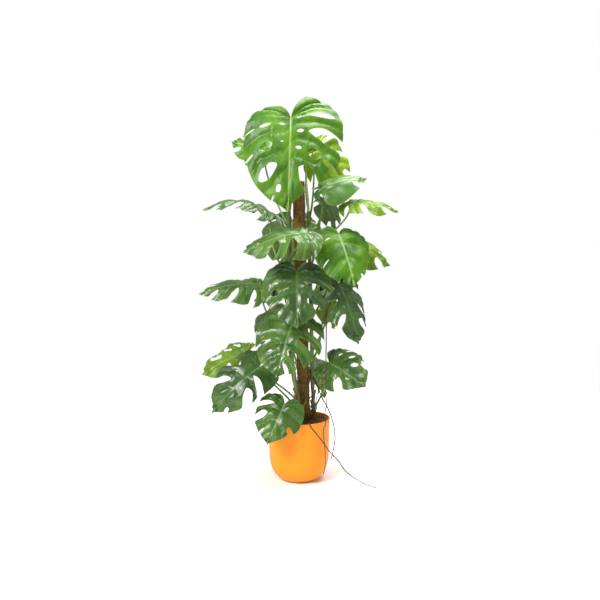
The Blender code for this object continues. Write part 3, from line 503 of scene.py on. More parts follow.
def make_piece(name, shape, materials, nodes, sharp=60.0, kept=POINT_VALUES):
    """Turns a shape into a piece that stands for CAD nodes and takes a slot's finish."""
    mesh = bpy.data.meshes.new(name)
    mesh.from_pydata(np.concatenate(shape.points).tolist(), [], shape.faces)
    for material in materials:
        mesh.materials.append(material)
    mesh.polygons.foreach_set("material_index", shape.slots)
    mesh.polygons.foreach_set("use_smooth", [True] * len(shape.faces))
    for value in kept:
        attribute = mesh.attributes.new(value, "FLOAT", "POINT")
        attribute.data.foreach_set("value", np.concatenate(shape.values[value]).astype(np.float32))
    mesh.update()
    mesh.validate()
    mesh.set_sharp_from_angle(angle=math.radians(sharp))
    piece = bpy.data.objects.new(name, mesh)
    bpy.context.scene.collection.objects.link(piece)
    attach(piece, "root")
    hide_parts(*nodes)


# Routes and tubes

def smooth_route(points, steps):
    """Points on a smooth curve through the given ones, with steps between each pair."""
    knots = [Vector(p) for p in points]
    tangents = []
    for i in range(len(knots)):
        before = knots[max(i - 1, 0)]
        after = knots[min(i + 1, len(knots) - 1)]
        tangents.append((after - before).normalized())
    route = [knots[0]]
    for i in range(len(knots) - 1):
        handle = (knots[i + 1] - knots[i]).length / 3.0
        route += interpolate_bezier(knots[i], knots[i] + tangents[i] * handle,
                                    knots[i + 1] - tangents[i + 1] * handle, knots[i + 1], steps + 1)[1:]
    return route


def pole_centre(height):
    return Vector((POLE_X_AT_SOIL + POLE_LEAN * (height - POT_HEIGHT), 0.0, height))


def route_frames(route):
    """The points and two cross directions at each, turned as little as possible."""
    path = np.array(route, float)
    tangents = np.gradient(path, axis=0)
    tangents /= np.linalg.norm(tangents, axis=1)[:, None]
    first = np.cross(tangents[0], (0.0, 0.0, 1.0))
    if np.linalg.norm(first) < 0.2:
        first = np.cross(tangents[0], (0.0, 1.0, 0.0))
    across = []
    current = first / np.linalg.norm(first)
    for tangent in tangents:
        current = current - tangent * (current @ tangent)
        current = current / np.linalg.norm(current)
        across.append(current)
    across = np.array(across)
    return path, across, np.cross(tangents, across)


def turn_angles(steps):
    return np.arange(steps) * math.tau / steps


def ring_faces(rings, sides, flipped=False):
    """Faces between rings of points, and from the end rings to the two points after them."""
    faces = []
    for i in range(rings - 1):
        for j in range(sides):
            k = (j + 1) % sides
            faces.append((i * sides + j, i * sides + k, (i + 1) * sides + k, (i + 1) * sides + j))
    end, last = rings * sides, (rings - 1) * sides
    for j in range(sides):
        k = (j + 1) % sides
        faces.append((end, k, j))
        faces.append((end + 1, last + j, last + k))
    return [face[:1] + face[:0:-1] for face in faces] if flipped else faces


def add_tube(shape, route, radii, sides, slot=0, swell=None, **values):
    """A closed tube; swell(angles, index) may scale its radius round each ring."""
    path, across, other = route_frames(route)
    angles = turn_angles(sides)
    rings = []
    for i in range(len(path)):
        radius = radii[i] * (swell(angles, i) if swell else np.ones(sides))
        ring = np.outer(np.cos(angles) * radius, across[i]) + np.outer(np.sin(angles) * radius, other[i])
        rings.append(path[i] + ring)
    spread = {}
    for name, value in values.items():
        value = np.broadcast_to(np.asarray(value, float), (len(path),))
        spread[name] = np.concatenate([np.repeat(value, sides), value[:1], value[-1:]])
    points = np.concatenate(rings + [path[:1], path[-1:]])
    shape.add(points, ring_faces(len(path), sides), slot, **spread)


def ripple(points, seed, size, terms=5):
    """Smooth seeded noise of about unit size at the points, with features of that size."""
    draw = np.random.default_rng(seed)
    total = np.zeros(len(points))
    for _ in range(terms):
        direction = draw.normal(size=3)
        direction /= np.linalg.norm(direction)
        length = size * draw.uniform(0.6, 1.6)
        total += np.sin(points @ direction * (math.tau / length) + draw.uniform(0.0, math.tau))
    return total / math.sqrt(terms)


# Leaf blades

def tip_share(s):
    """How much of the drawn-out tip is at s: 1 at the tip itself."""
    return np.exp(-((1.0 - s) / TIP_SPREAD) ** 2)


def margin_curve(leaf, half, s):
    """Outline of the flat half blade, from its basal lobe (s 0) to its tip (s 1)."""
    angle = SINUS_ANGLE + (math.pi - SINUS_ANGLE) * s
    reach = leaf.basal[half]
    u = ((1.0 - reach) - (1.0 + reach) * np.cos(angle)) / 2.0
    half_width = 0.5 * leaf.width * leaf.halves[half]
    v = half_width * np.abs(np.sin(angle)) ** (0.70 + 0.60 * s * s) * (1.0 + 0.26 * np.cos(angle))
    v = v * (1.0 - leaf.taper[half] * smooth_step((s - TAPER_START) / TAPER_SPREAD))
    return u, v * (1.0 - TIP_NARROWING * tip_share(s))


def smooth_step(value):
    value = np.clip(value, 0.0, 1.0)
    return value * value * (3.0 - 2.0 * value)


def flat_points(leaf, half, s, t):
    """Points of the flat half blade on the veins s, shares t of the way to the margin."""
    u1, v1 = margin_curve(leaf, half, s)
    u0 = np.maximum(0.0, (s - FIRST_VEIN) / (1.0 - FIRST_VEIN)) ** VEIN_GATHER
    bow = VEIN_BOW * 4.0 * t * (1.0 - t)
    u = u0 + (u1 - u0) * t - bow * v1 + TIP_POINT * tip_share(s) * t
    return u, np.maximum(v1 * t + bow * (u1 - u0), 0.0)


def slit_place(leaf, half, k, t):
    """The s of slit k at t: shared by both halves at the midrib, its own further out."""
    shared = leaf.shared[k]
    return shared + (leaf.slits[half][k][0] - shared) * np.minimum(t / 0.10, 1.0)


def slit_gap(leaf, half, k, t):
    """Half width of slit k, in s, at the shares t of the way out."""
    gap = np.zeros_like(t)
    for start, end, width in leaf.slits[half][k][1]:
        share = (t - start) / (min(end, 1.0) - start)
        if end < 1.0:
            inside = (share > 0.0) & (share < 0.999)
            gap[inside] = width * np.sin(math.pi * share[inside]) ** 0.6
        else:
            inside = share > 0.0
            rise = np.sin(0.5 * math.pi * np.minimum(share[inside] / 0.45, 1.0)) ** 0.7
            mouth = 1.0 + (leaf.mouth - 1.0) * smooth_step((share[inside] - 0.45) / 0.55)
            gap[inside] = width * rise * mouth
    return gap


def slit_freedom(leaf, half, k, t):
    """How freely the blade bends beside slit k at t, from 0 (whole) to 1 (a loose finger)."""
    freedom = np.zeros_like(t)
    if 0 <= k < leaf.lobes - 1:
        for start, end, _ in leaf.slits[half][k][1]:
            if end == OPEN:
                freedom = np.maximum(freedom, smooth_step((t - start) / 0.55))
            else:
                share = np.clip((t - start) / (end - start), 0.0, 1.0)
                freedom = np.maximum(freedom, 0.08 * np.sin(math.pi * share) ** 2)
    return freedom


def margin_share(leaf, half, s, t):
    """How far out the margin is at s: hooked before each open slit, rounded after it."""
    cut = np.zeros_like(s)
    for k in range(leaf.lobes - 1):
        openings = leaf.slits[half][k][1]
        if openings and openings[-1][1] == OPEN:
            away = s - slit_place(leaf, half, k, t)
            hook = HOOK_CUT * np.exp(-(away / HOOK_WIDTH) ** 2)
            shoulder = SHOULDER_CUT * np.exp(-(away / SHOULDER_WIDTH) ** 2)
            cut += np.where(away < 0.0, hook, shoulder) * min(openings[-1][2] / FULL_CUT_WIDTH, 1.0)
    cut *= smooth_step((1.0 - s) / TIP_SPREAD)
    return 1.0 - cut * smooth_step((t - CORNER_START) / (1.0 - CORNER_START))


def bent_points(leaf, half, u, v, s):
    """Bends flat blade points along the sagging midrib and down to each side."""
    half_width = 0.5 * leaf.width
    turn = leaf.curl / half_width
    out = (math.sin(leaf.fold) - np.sin(leaf.fold - turn * v)) / turn
    lift = (np.cos(leaf.fold - turn * v) - math.cos(leaf.fold)) / turn
    lift = lift + leaf.wave * (v / half_width) ** 2 * np.sin(math.pi * leaf.lobes * s + leaf.phase[half])
    lift = lift + leaf.sag * 4.0 * u * (1.0 - u)
    hand = -1.0 if half == 0 else 1.0
    place = np.array(leaf.base) + np.multiply.outer(u * leaf.length, np.array(leaf.along))
    place = place + np.multiply.outer(hand * out * leaf.length, np.array(leaf.side))
    return place + np.multiply.outer(lift * leaf.length, np.array(leaf.up))


def vein_shares(leaf, lobe):
    """Places of the side veins across a lobe, and how strong each is."""
    if lobe == 0:
        return ((0.30, 0.6), (0.62, 0.8), (0.88, 0.7))
    if lobe == leaf.lobes - 1:
        return ((0.35, 0.9), (0.70, 0.5))
    return ((0.48, 1.0),)


def blade_rows(leaf):
    """Shares of the way out, closer together where openings start and end."""
    wanted = list(ROWS)
    for half in leaf.slits:
        for _, openings in half:
            for start, end, _ in openings:
                wanted += [start + offset for offset in ROW_OFFSETS]
                wanted += [end - offset for offset in ROW_OFFSETS if end < 1.0]
    rows = [0.0]
    for row in sorted(wanted):
        if row - rows[-1] > LEAST_ROW_STEP and 1.0 - row > LEAST_ROW_STEP:
            rows.append(row)
    return np.array(rows + [1.0])


def lobe_grid(leaf, half, lobe, t):
    """Places and vein, edge and fan values over one lobe of one half blade."""
    lower = np.zeros_like(t)
    upper = np.ones_like(t)
    lower_open = np.zeros_like(t)
    upper_open = np.zeros_like(t)
    if lobe > 0:
        lower_open = slit_gap(leaf, half, lobe - 1, t)
        lower = slit_place(leaf, half, lobe - 1, t) + lower_open
    if lobe < leaf.lobes - 1:
        upper_open = slit_gap(leaf, half, lobe, t)
        upper = slit_place(leaf, half, lobe, t) - upper_open
    share = np.linspace(0.0, 1.0, COLUMNS + 1)
    s = lower[:, None] + (upper - lower)[:, None] * share[None, :]
    s[:, 0] = lower
    s[:, -1] = upper
    rows = np.broadcast_to(t[:, None], s.shape)
    reach = rows * margin_share(leaf, half, s, rows)
    u, v = flat_points(leaf, half, s, reach)
    place = bent_points(leaf, half, u, v, s)
    step = np.linalg.norm(np.diff(place, axis=1), axis=2)
    run = np.concatenate([np.zeros((len(t), 1)), np.cumsum(step, axis=1)], axis=1)
    vein = np.full(s.shape, 1.0)
    for middle, strength in vein_shares(leaf, lobe):
        at = np.array([np.interp(middle, share, line) for line in run])
        vein = np.minimum(vein, np.abs(run - at[:, None]) / strength)
    edge = np.linalg.norm(place - place[-1:], axis=2)
    lower_side = np.where(lower_open[:, None] > 0.0, run, 1.0)
    upper_side = np.where(upper_open[:, None] > 0.0, run[:, -1:] - run, 1.0)
    edge = np.minimum(edge, np.minimum(lower_side, upper_side))
    across = np.broadcast_to(share[None, :], s.shape)
    free = [slit_freedom(leaf, half, k, t)[:, None] for k in (lobe - 1, lobe)]
    return {"place": place, "fan": s, "t": rows, "rib": v * leaf.length, "vein": vein, "edge": edge,
            "across": across, "u": u, "free": free}


def blade_relief(leaf, grid):
    """Height of the blade above its smooth sheet: arched fingers with sunken veins."""
    t, rib, vein, across = (grid[name] for name in ("t", "rib", "vein", "across"))
    lower_free, upper_free = grid["free"]
    arch = -FINGER_DROP * leaf.length * t * upper_free * across ** 2
    arch = arch - FINGER_DROP_BELOW * leaf.length * t * lower_free * (1.0 - across) ** 2
    groove = -VEIN_GROOVE * np.exp(-(vein / VEIN_GROOVE_WIDTH) ** 2) * (1.0 - 0.5 * t)
    pillow = PILLOW * (1.0 - np.exp(-vein / PILLOW_WIDTH)) * np.clip(t / 0.15, 0.0, 1.0)
    pillow = pillow + TROUGH_SLOPE * np.minimum(vein, TROUGH_REACH) * smooth_step(t / 0.30)
    trough = -RIB_TROUGH * np.exp(-(rib / RIB_TROUGH_WIDTH) ** 2) * (1.0 - 0.5 * grid["u"])
    points = grid["place"].reshape(-1, 3)
    seed = sum(map(ord, leaf.name))
    swell = SWELL * ripple(points, seed, SWELL_SIZE).reshape(t.shape)
    fine = FINE_SWELL * ripple(points, seed + 1, FINE_SWELL_SIZE).reshape(t.shape)
    return arch + groove + pillow + trough + (swell + fine) * np.clip(rib / 0.03, 0.0, 1.0)


def grid_faces(rows, columns, offset, flip):
    """Four-sided faces between neighbouring grid points."""
    i = np.arange(rows - 1)[:, None] * columns + np.arange(columns - 1)[None, :] + offset
    corners = np.stack([i, i + columns, i + columns + 1, i + 1], axis=-1).reshape(-1, 4)
    return corners[:, ::-1] if flip else corners


def blade_sheet(leaf):
    """The blade's middle sheet with shared points: places, values and faces."""
    places = []
    heights = []
    values = {name: [] for name in ("vein", "fan", "rib", "edge")}
    faces = []
    offset = 0
    t = blade_rows(leaf)
    for half in range(2):
        for lobe in range(leaf.lobes):
            grid = lobe_grid(leaf, half, lobe, t)
            rows, columns = grid["fan"].shape
            places.append(grid["place"].reshape(-1, 3))
            heights.append(blade_relief(leaf, grid).ravel())
            for name, parts in values.items():
                parts.append(grid[name].ravel())
            faces.append(grid_faces(rows, columns, offset, half == 0))
            offset += rows * columns
    places = np.concatenate(places)
    _, first, where = np.unique(np.round(places, 6), axis=0, return_index=True, return_inverse=True)
    where = where.reshape(-1)
    joined = {name: np.full(len(first), 1.0) for name in values}
    for name, parts in values.items():
        np.minimum.at(joined[name], where, np.concatenate(parts))
    height = np.zeros(len(first))
    np.add.at(height, where, np.concatenate(heights))
    height /= np.bincount(where, minlength=len(first))
    return places[first], height, joined, where[np.concatenate(faces)]


def without_repeats(face):
    """The face's corners with equal neighbours dropped, or None if it has no area."""
    distinct = [c for i, c in enumerate(face) if c != face[i - 1]]
    return tuple(distinct) if len(distinct) > 2 and len(set(distinct)) == len(distinct) else None


def sheet_normals(points, faces):
    first = points[faces[:, 2]] - points[faces[:, 0]]
    second = points[faces[:, 3]] - points[faces[:, 1]]
    normal = np.cross(first, second)
    total = np.zeros_like(points)
    for corner in range(4):
        np.add.at(total, faces[:, corner], normal)
    return total / np.maximum(np.linalg.norm(total, axis=1), 1e-12)[:, None]


def sheet_faces(faces, count):
    """Both sides of a sheet of count points, and the strip round its borders."""
    edges = {(face[i - 1], face[i]) for face in faces for i in range(len(face))}
    border = sorted((a, b) for a, b in edges if (b, a) not in edges)
    back = [tuple(corner + count for corner in face[::-1]) for face in faces]
    return faces + back + [(b, a, a + count, b + count) for a, b in border]


def add_blade(leaf, shape):
    points, height, values, quads = blade_sheet(leaf)
    normals = sheet_normals(points, quads)
    points = points + normals * height[:, None]
    normals = sheet_normals(points, quads)
    thin = 0.45 + 0.55 * np.clip(values["edge"] / 0.0025, 0.0, 1.0)
    thickness = BLADE_THICKNESS * thin + 0.0012 * np.exp(-(values["rib"] / 0.004) ** 2)
    faces = [face for face in map(without_repeats, quads.tolist()) if face]
    count = len(points)
    offset = normals * thickness[:, None] / 2.0
    both = np.concatenate([points + offset, points - offset])
    doubled = {name: np.concatenate([value, value]) for name, value in values.items()}
    under = np.concatenate([np.zeros(count), np.ones(count)])
    shape.add(both, sheet_faces(faces, count), 0, under=under, along=1.0, **doubled)


def midrib_point(leaf, u, sunk):
    lift = leaf.sag * 4.0 * u * (1.0 - u) * leaf.length - RIB_TROUGH * (1.0 - 0.5 * u) - sunk
    return leaf.base + leaf.along * (u * leaf.length) + leaf.up * lift


def stem_point(name, height):
    """The centre of a stem at a height, on its smooth route."""
    route = smooth_route(STEMS[name][1], 4)
    for low, high in zip(route, route[1:]):
        if low.z <= height <= high.z:
            return low.lerp(high, (height - low.z) / (high.z - low.z))
    return route[-1]


def stalk_curve(leaf):
    """The stalk leaves its stem rising outward and meets the blade from its underside."""
    foot = stem_point(leaf.stem, leaf.foot)
    span = (leaf.base - foot).length
    outward = Vector((leaf.base.x - foot.x, leaf.base.y - foot.y, 0.0)).normalized()
    leaving = (outward * leaf.lean + Vector((0.0, 0.0, 1.0))).normalized()
    arriving = (leaf.up - leaf.along * leaf.rise).normalized()
    end = leaf.base + arriving * STALK_SINK
    return interpolate_bezier(foot, foot + leaving * span * leaf.reach,
                              end - arriving * span * 0.30, end, STALK_STEPS)


def stalk_radii(leaf, route):
    """Radii along the stalk, swollen at its clasping foot and below the blade."""
    length = sum((b - a).length for a, b in zip(route, route[1:]))
    radii = []
    for i in range(len(route)):
        share = i / (len(route) - 1)
        radius = leaf.stalk * (1.25 - 0.35 * share)
        radius *= 1.0 + KNEE_SWELL * math.exp(-((share - KNEE_PLACE) / KNEE_SPREAD) ** 2)
        radius *= 1.0 + FOOT_SWELL * math.exp(-(share * length / FOOT_REACH) ** 2)
        radii.append(radius)
    return radii


def grooved(angles, _):
    """Section of a stalk, with a shallow groove along one side."""
    return 1.0 - 0.10 * np.exp(-((angles - math.pi) / 0.5) ** 2)


def add_stalk(leaf, shape):
    """The stalk, which bends at the blade's base and runs on below it as the midrib."""
    route = stalk_curve(leaf)[:-2]
    count = len(route)
    rib_radius = RIB_RADIUS * (leaf.length / RIB_LEAF_LENGTH) ** 0.5
    shares = [RIB_START + (RIB_END - RIB_START) * i / RIB_STEPS for i in range(RIB_STEPS + 1)]
    rib_radii = [rib_radius * (1.0 - share) ** 0.75 + LEAST_RIB_RADIUS for share in shares]
    ribs = [midrib_point(leaf, share, radius * 0.60) for share, radius in zip(shares, rib_radii)]
    leaving = (route[-1] - route[-2]).normalized()
    arriving = (ribs[1] - ribs[0]).normalized()
    span = (ribs[0] - route[-1]).length
    turn = interpolate_bezier(route[-1], route[-1] + leaving * span * KNEE_HANDLE,
                              ribs[0] - arriving * span * KNEE_HANDLE, ribs[0], 8)[1:-1]
    radii = stalk_radii(leaf, route)
    last = radii[-1]
    radii += [last + (rib_radii[0] - last) * (i + 1) / (len(turn) + 1) for i in range(len(turn))]
    along = [i / (count - 1) for i in range(count)] + [1.0] * len(turn)
    along += [1.0 + share for share in shares]
    add_tube(shape, route + turn + ribs, radii + rib_radii, 12, 1, swell=grooved, along=along)


def make_leaf(leaf, blade_material, stalk_material):
    shape = Shape()
    add_blade(leaf, shape)
    add_stalk(leaf, shape)
    make_piece(f"{leaf.name}_piece", shape, [blade_material, stalk_material], [leaf.name])


# Materials

class Finish:
    """Short calls that add nodes to one material."""

    def __init__(self, name):
        self.material = bpy.data.materials.new(name)
        self.material.use_nodes = True
        self.nodes = self.material.node_tree.nodes
        self.links = self.material.node_tree.links
        self.shader = self.nodes["Principled BSDF"]
        self.output = self.nodes["Material Output"]
        self.place = self.nodes.new("ShaderNodeTexCoord").outputs["Object"]

    def put(self, socket, value):
        if isinstance(value, bpy.types.NodeSocket):
            self.links.new(value, socket)
        elif isinstance(value, tuple) and len(value) == 3 and len(socket.default_value) == 4:
            socket.default_value = (*value, 1.0)
        else:
            socket.default_value = value

    def value(self, name):
        node = self.nodes.new("ShaderNodeAttribute")
        node.attribute_name = name
        return node.outputs["Fac"]

    def noise(self, scale, detail=2.0, rough=0.5, stretch=None):
        node = self.nodes.new("ShaderNodeTexNoise")
        node.inputs["Scale"].default_value = scale
        node.inputs["Detail"].default_value = detail
        node.inputs["Roughness"].default_value = rough
        place = self.place
        if stretch:
            mapping = self.nodes.new("ShaderNodeMapping")
            mapping.inputs["Scale"].default_value = stretch
            self.links.new(self.place, mapping.inputs["Vector"])
            place = mapping.outputs["Vector"]
        self.links.new(place, node.inputs["Vector"])
        return node.outputs["Fac"]

    def ramp(self, value, low, high, start=0.0, end=1.0):
        """Turns smoothly from start, where the value is low, to end, where it is high."""
        node = self.nodes.new("ShaderNodeMapRange")
        node.interpolation_type = "SMOOTHSTEP"
        self.put(node.inputs["Value"], value)
        node.inputs["From Min"].default_value = low
        node.inputs["From Max"].default_value = high
        node.inputs["To Min"].default_value = start
        node.inputs["To Max"].default_value = end
        return node.outputs["Result"]

    def math(self, operation, first, second=0.0):
        node = self.nodes.new("ShaderNodeMath")
        node.operation = operation
        self.put(node.inputs[0], first)
        self.put(node.inputs[1], second)
        return node.outputs["Value"]

    def mix(self, share, first, second):
        node = self.nodes.new("ShaderNodeMix")
        node.data_type = "RGBA"
        self.put(node.inputs["Factor"], share)
        self.put(node.inputs[MIX_FIRST], first)
        self.put(node.inputs[MIX_SECOND], second)
        return node.outputs[MIX_RESULT]

    def patches(self, colour, other, noise, low, high, share):
        """The colour, with up to a share of the other one where the noise is high."""
        return self.mix(self.ramp(noise, low, high, 0.0, share), colour, other)

    def bump(self, height, distance, strength=1.0):
        node = self.nodes.new("ShaderNodeBump")
        node.inputs["Strength"].default_value = strength
        node.inputs["Distance"].default_value = distance
        self.put(node.inputs["Height"], height)
        self.links.new(node.outputs["Normal"], self.shader.inputs["Normal"])

    def set(self, **sockets):
        for name, value in sockets.items():
            self.put(self.shader.inputs[name.replace("_", " ")], value)


def blade_finish(tone):
    light, dark, below, pale = TONES[tone]
    mirror, least, most, vein_strength, rib_strength = GLOSS[tone]
    f = Finish(f"blade_{tone}")
    vein, fan, rib, edge, under = (f.value(name) for name in ("vein", "fan", "rib", "edge", "under"))
    broad = f.ramp(f.noise(11.0, 2.0), 0.32, 0.68)
    colour = f.mix(broad, dark, light)
    mottle = f.ramp(f.noise(75.0, 4.0, 0.65), 0.35, 0.75, 0.0, 0.35)
    colour = f.mix(mottle, colour, light)
    wander = f.math("MULTIPLY", f.noise(40.0, 2.0), 1.6)
    stripes = f.math("SINE", f.math("ADD", f.math("MULTIPLY", fan, 420.0), wander))
    lines = f.ramp(stripes, 0.55, 1.0, 0.0, 0.22)
    colour = f.mix(lines, colour, (light[0] * 1.35, light[1] * 1.25, light[2] * 1.6))
    halo = f.ramp(vein, *VEIN_HALO, 0.38, 0.0)
    colour = f.mix(halo, colour, (light[0] * 1.3, light[1] * 1.2, light[2] * 1.6))
    colour = f.mix(f.ramp(vein, *VEIN_LINE, vein_strength, 0.0), colour, pale)
    colour = f.mix(f.ramp(rib, *RIB_LINE, rib_strength, 0.0), colour, pale)
    colour = f.mix(f.ramp(edge, *EDGE_LINE, 0.65, 0.0), colour, PALE_EDGE)
    worn_places = f.ramp(f.noise(26.0, 3.0, 0.6), 0.66, 0.74)
    worn = f.math("MULTIPLY", worn_places, f.ramp(edge, *WORN_WIDTH, 0.8, 0.0))
    colour = f.mix(worn, colour, WORN_EDGE)
    vein_below = f.ramp(vein, *VEIN_LINE_BELOW, 0.8, 0.0)
    colour = f.mix(under, colour, f.mix(vein_below, f.mix(mottle, below, light), VEIN_BELOW))
    rough = f.ramp(f.noise(30.0, 3.0), 0.3, 0.7, least, most)
    rough = f.math("ADD", rough, f.math("MULTIPLY", under, 0.18))
    f.set(Base_Color=colour, Roughness=rough, Specular_IOR_Level=mirror)
    relief = f.math("ADD", f.math("MULTIPLY", stripes, 0.30), f.math("MULTIPLY", f.noise(900.0, 2.0), 0.5))
    f.bump(relief, 0.00022, 0.6)
    glow = f.nodes.new("ShaderNodeBsdfTranslucent")
    f.links.new(f.mix(0.5, colour, LIGHT_THROUGH), glow.inputs["Color"])
    blend = f.nodes.new("ShaderNodeMixShader")
    blend.inputs["Fac"].default_value = LIGHT_THROUGH_SHARE
    f.links.new(f.shader.outputs["BSDF"], blend.inputs[1])
    f.links.new(glow.outputs["BSDF"], blend.inputs[2])
    f.links.new(blend.outputs["Shader"], f.output.inputs["Surface"])
    return f.material


def stalk_finish(tone):
    pale = TONES[tone][3]
    f = Finish(f"stalk_{tone}")
    along = f.value("along")
    streak = f.ramp(f.noise(60.0, 3.0, 0.6, stretch=(1.0, 1.0, 0.12)), 0.3, 0.75)
    colour = f.mix(streak, *SHADES["stalk"])
    colour = f.mix(f.ramp(along, 0.0, 0.25, 0.45, 0.0), colour, STALK_FOOT)
    colour = f.mix(f.ramp(along, 0.92, 1.04, 0.0, 1.0), colour, pale)
    colour = f.patches(colour, STALK_SPECKLE, f.noise(420.0, 2.0), 0.60, 0.72, 0.30)
    f.set(Base_Color=colour, Roughness=f.ramp(f.noise(50.0), 0.3, 0.7, 0.36, 0.52))
    f.bump(f.noise(300.0, 3.0), 0.0003, 0.5)
    return f.material


def stem_finish():
    f = Finish("stem_bark")
    along = f.value("along")
    streak = f.ramp(f.noise(45.0, 4.0, 0.6, stretch=(1.0, 1.0, 0.10)), 0.3, 0.72)
    colour = f.mix(streak, *SHADES["stem"])
    dry_patches = f.ramp(f.noise(14.0, 3.0), 0.52, 0.70, 0.0, 0.45)
    dry = f.math("ADD", f.ramp(along, 0.30, 0.52, 0.75, 0.0), dry_patches)
    colour = f.mix(f.math("MINIMUM", dry, 1.0), colour, DRY_BARK)
    ring = f.ramp(f.value("edge"), 0.0008, 0.0032, 0.8, 0.0)
    colour = f.mix(ring, colour, NODE_RING)
    f.set(Base_Color=colour, Roughness=f.ramp(f.noise(60.0), 0.3, 0.7, 0.42, 0.62))
    f.bump(f.noise(260.0, 4.0, 0.6, stretch=(1.0, 1.0, 0.25)), 0.0006, 0.7)
    return f.material


def sheath_finish():
    f = Finish("dry_sheath")
    streak = f.ramp(f.noise(70.0, 5.0, 0.65, stretch=(1.0, 1.0, 0.08)), 0.3, 0.72)
    colour = f.mix(streak, *SHADES["sheath"])
    colour = f.patches(colour, GREEN_SHEATH, f.noise(18.0, 2.0), 0.55, 0.72, 0.7)
    f.set(Base_Color=colour, Roughness=0.78)
    f.bump(f.noise(240.0, 4.0, 0.6, stretch=(1.0, 1.0, 0.10)), 0.0007, 0.8)
    return f.material


def coir_finish():
    f = Finish("coir_fibre")
    weave = f.noise(95.0, 6.0, 0.7, stretch=(1.0, 1.0, 0.45))
    colour = f.mix(f.ramp(weave, 0.30, 0.70), *SHADES["coir"])
    colour = f.patches(colour, MOSSY_COIR, f.noise(9.0, 3.0), 0.40, 0.62, 0.60)
    # Fine pale flecks of painted sheen on the fibres
    colour = f.patches(colour, PAINTED_COIR_SHEEN, f.noise(500.0, 3.0), 0.55, 0.75, 0.45)
    f.set(Base_Color=colour, Roughness=0.92, Specular_IOR_Level=0.20)
    f.bump(f.noise(420.0, 5.0, 0.7), 0.0014, 0.9)
    return f.material


def fibre_finish():
    f = Finish("loose_fibre")
    colour = f.mix(f.ramp(f.noise(130.0, 3.0), 0.32, 0.68), *SHADES["fibre"])
    f.set(Base_Color=colour, Roughness=0.80)
    f.bump(f.noise(900.0, 2.0), 0.0002, 0.4)
    return f.material


def pot_finish():
    f = Finish("orange_plastic")
    haze = f.ramp(f.noise(5.0, 3.0), 0.3, 0.7)
    colour = f.mix(haze, *SHADES["pot"])
    colour = f.patches(colour, DUST, f.noise(160.0, 5.0, 0.7), 0.62, 0.80, 0.10)
    rough = f.ramp(f.noise(60.0, 4.0), 0.3, 0.7, 0.44, 0.56)
    f.set(Base_Color=colour, Roughness=rough, Specular_IOR_Level=0.26)
    grain = f.math("ADD", f.noise(1400.0, 2.0), f.math("MULTIPLY", f.noise(180.0, 3.0), 0.6))
    f.bump(grain, 0.00016, 0.45)
    return f.material


def soil_finish(name, shades):
    f = Finish(name)
    colour = f.mix(f.ramp(f.noise(120.0, 6.0, 0.7), 0.35, 0.68), *shades)
    colour = f.patches(colour, WET_SOIL, f.noise(38.0, 3.0), 0.55, 0.72, 0.6)
    f.set(Base_Color=colour, Roughness=0.95)
    f.bump(f.noise(520.0, 6.0, 0.75), 0.0018, 0.9)
    return f.material


def root_finish():
    f = Finish("root_bark")
    colour = f.mix(f.ramp(f.noise(180.0, 4.0, 0.65), 0.35, 0.70), *SHADES["root"])
    colour = f.patches(colour, GREEN_ROOT, f.noise(22.0, 2.0), 0.50, 0.70, 0.35)
    f.set(Base_Color=colour, Roughness=0.72)
    f.bump(f.noise(650.0, 4.0, 0.7), 0.0006, 0.7)
    return f.material


def wire_finish():
    f = Finish("coated_wire")
    colour = f.mix(f.ramp(f.noise(90.0, 3.0), 0.35, 0.70), *SHADES["wire"])
    f.set(Base_Color=colour, Roughness=f.ramp(f.noise(200.0), 0.3, 0.7, 0.35, 0.55))
    f.bump(f.noise(700.0, 2.0), 0.0002, 0.4)
    return f.material


def spear_finish():
    f = Finish("rolled_leaf")
    along = f.value("along")
    streak = f.ramp(f.noise(90.0, 3.0, 0.6, stretch=(1.0, 1.0, 0.08)), 0.3, 0.7)
    colour = f.mix(streak, *SHADES["spear"])
    colour = f.mix(f.ramp(along, 0.80, 1.0, 0.0, 0.7), colour, DRY_SPEAR_TIP)
    f.set(Base_Color=colour, Roughness=f.ramp(f.noise(50.0), 0.3, 0.7, 0.34, 0.48))
    f.bump(f.noise(240.0, 3.0, stretch=(1.0, 1.0, 0.1)), 0.0004, 0.5)
    return f.material


# Pot and soil

def pot_radius(height):
    """Outer radius of the pot: a tapering side above a wide elliptical corner."""
    if height >= POT_SHOULDER_HEIGHT:
        share = (height - POT_SHOULDER_HEIGHT) / (POT_HEIGHT - POT_SHOULDER_HEIGHT)
        return POT_SHOULDER_RADIUS + (POT_RIM_RADIUS - POT_SHOULDER_RADIUS) * share
    drop = 1.0 - max(height, 0.0) / POT_SHOULDER_HEIGHT
    return POT_BASE_RADIUS + (POT_SHOULDER_RADIUS - POT_BASE_RADIUS) * math.sqrt(max(1.0 - drop * drop, 0.0))


def add_turned(shape, profile, steps):
    """Turns a (radius, height) profile round Z; its ends lie on the axis."""
    inner = profile[1:-1]
    points = [(r * math.cos(a), r * math.sin(a), z) for r, z in inner for a in turn_angles(steps)]
    points += [(0.0, 0.0, profile[0][1]), (0.0, 0.0, profile[-1][1])]
    shape.add(points, ring_faces(len(inner), steps, flipped=True))


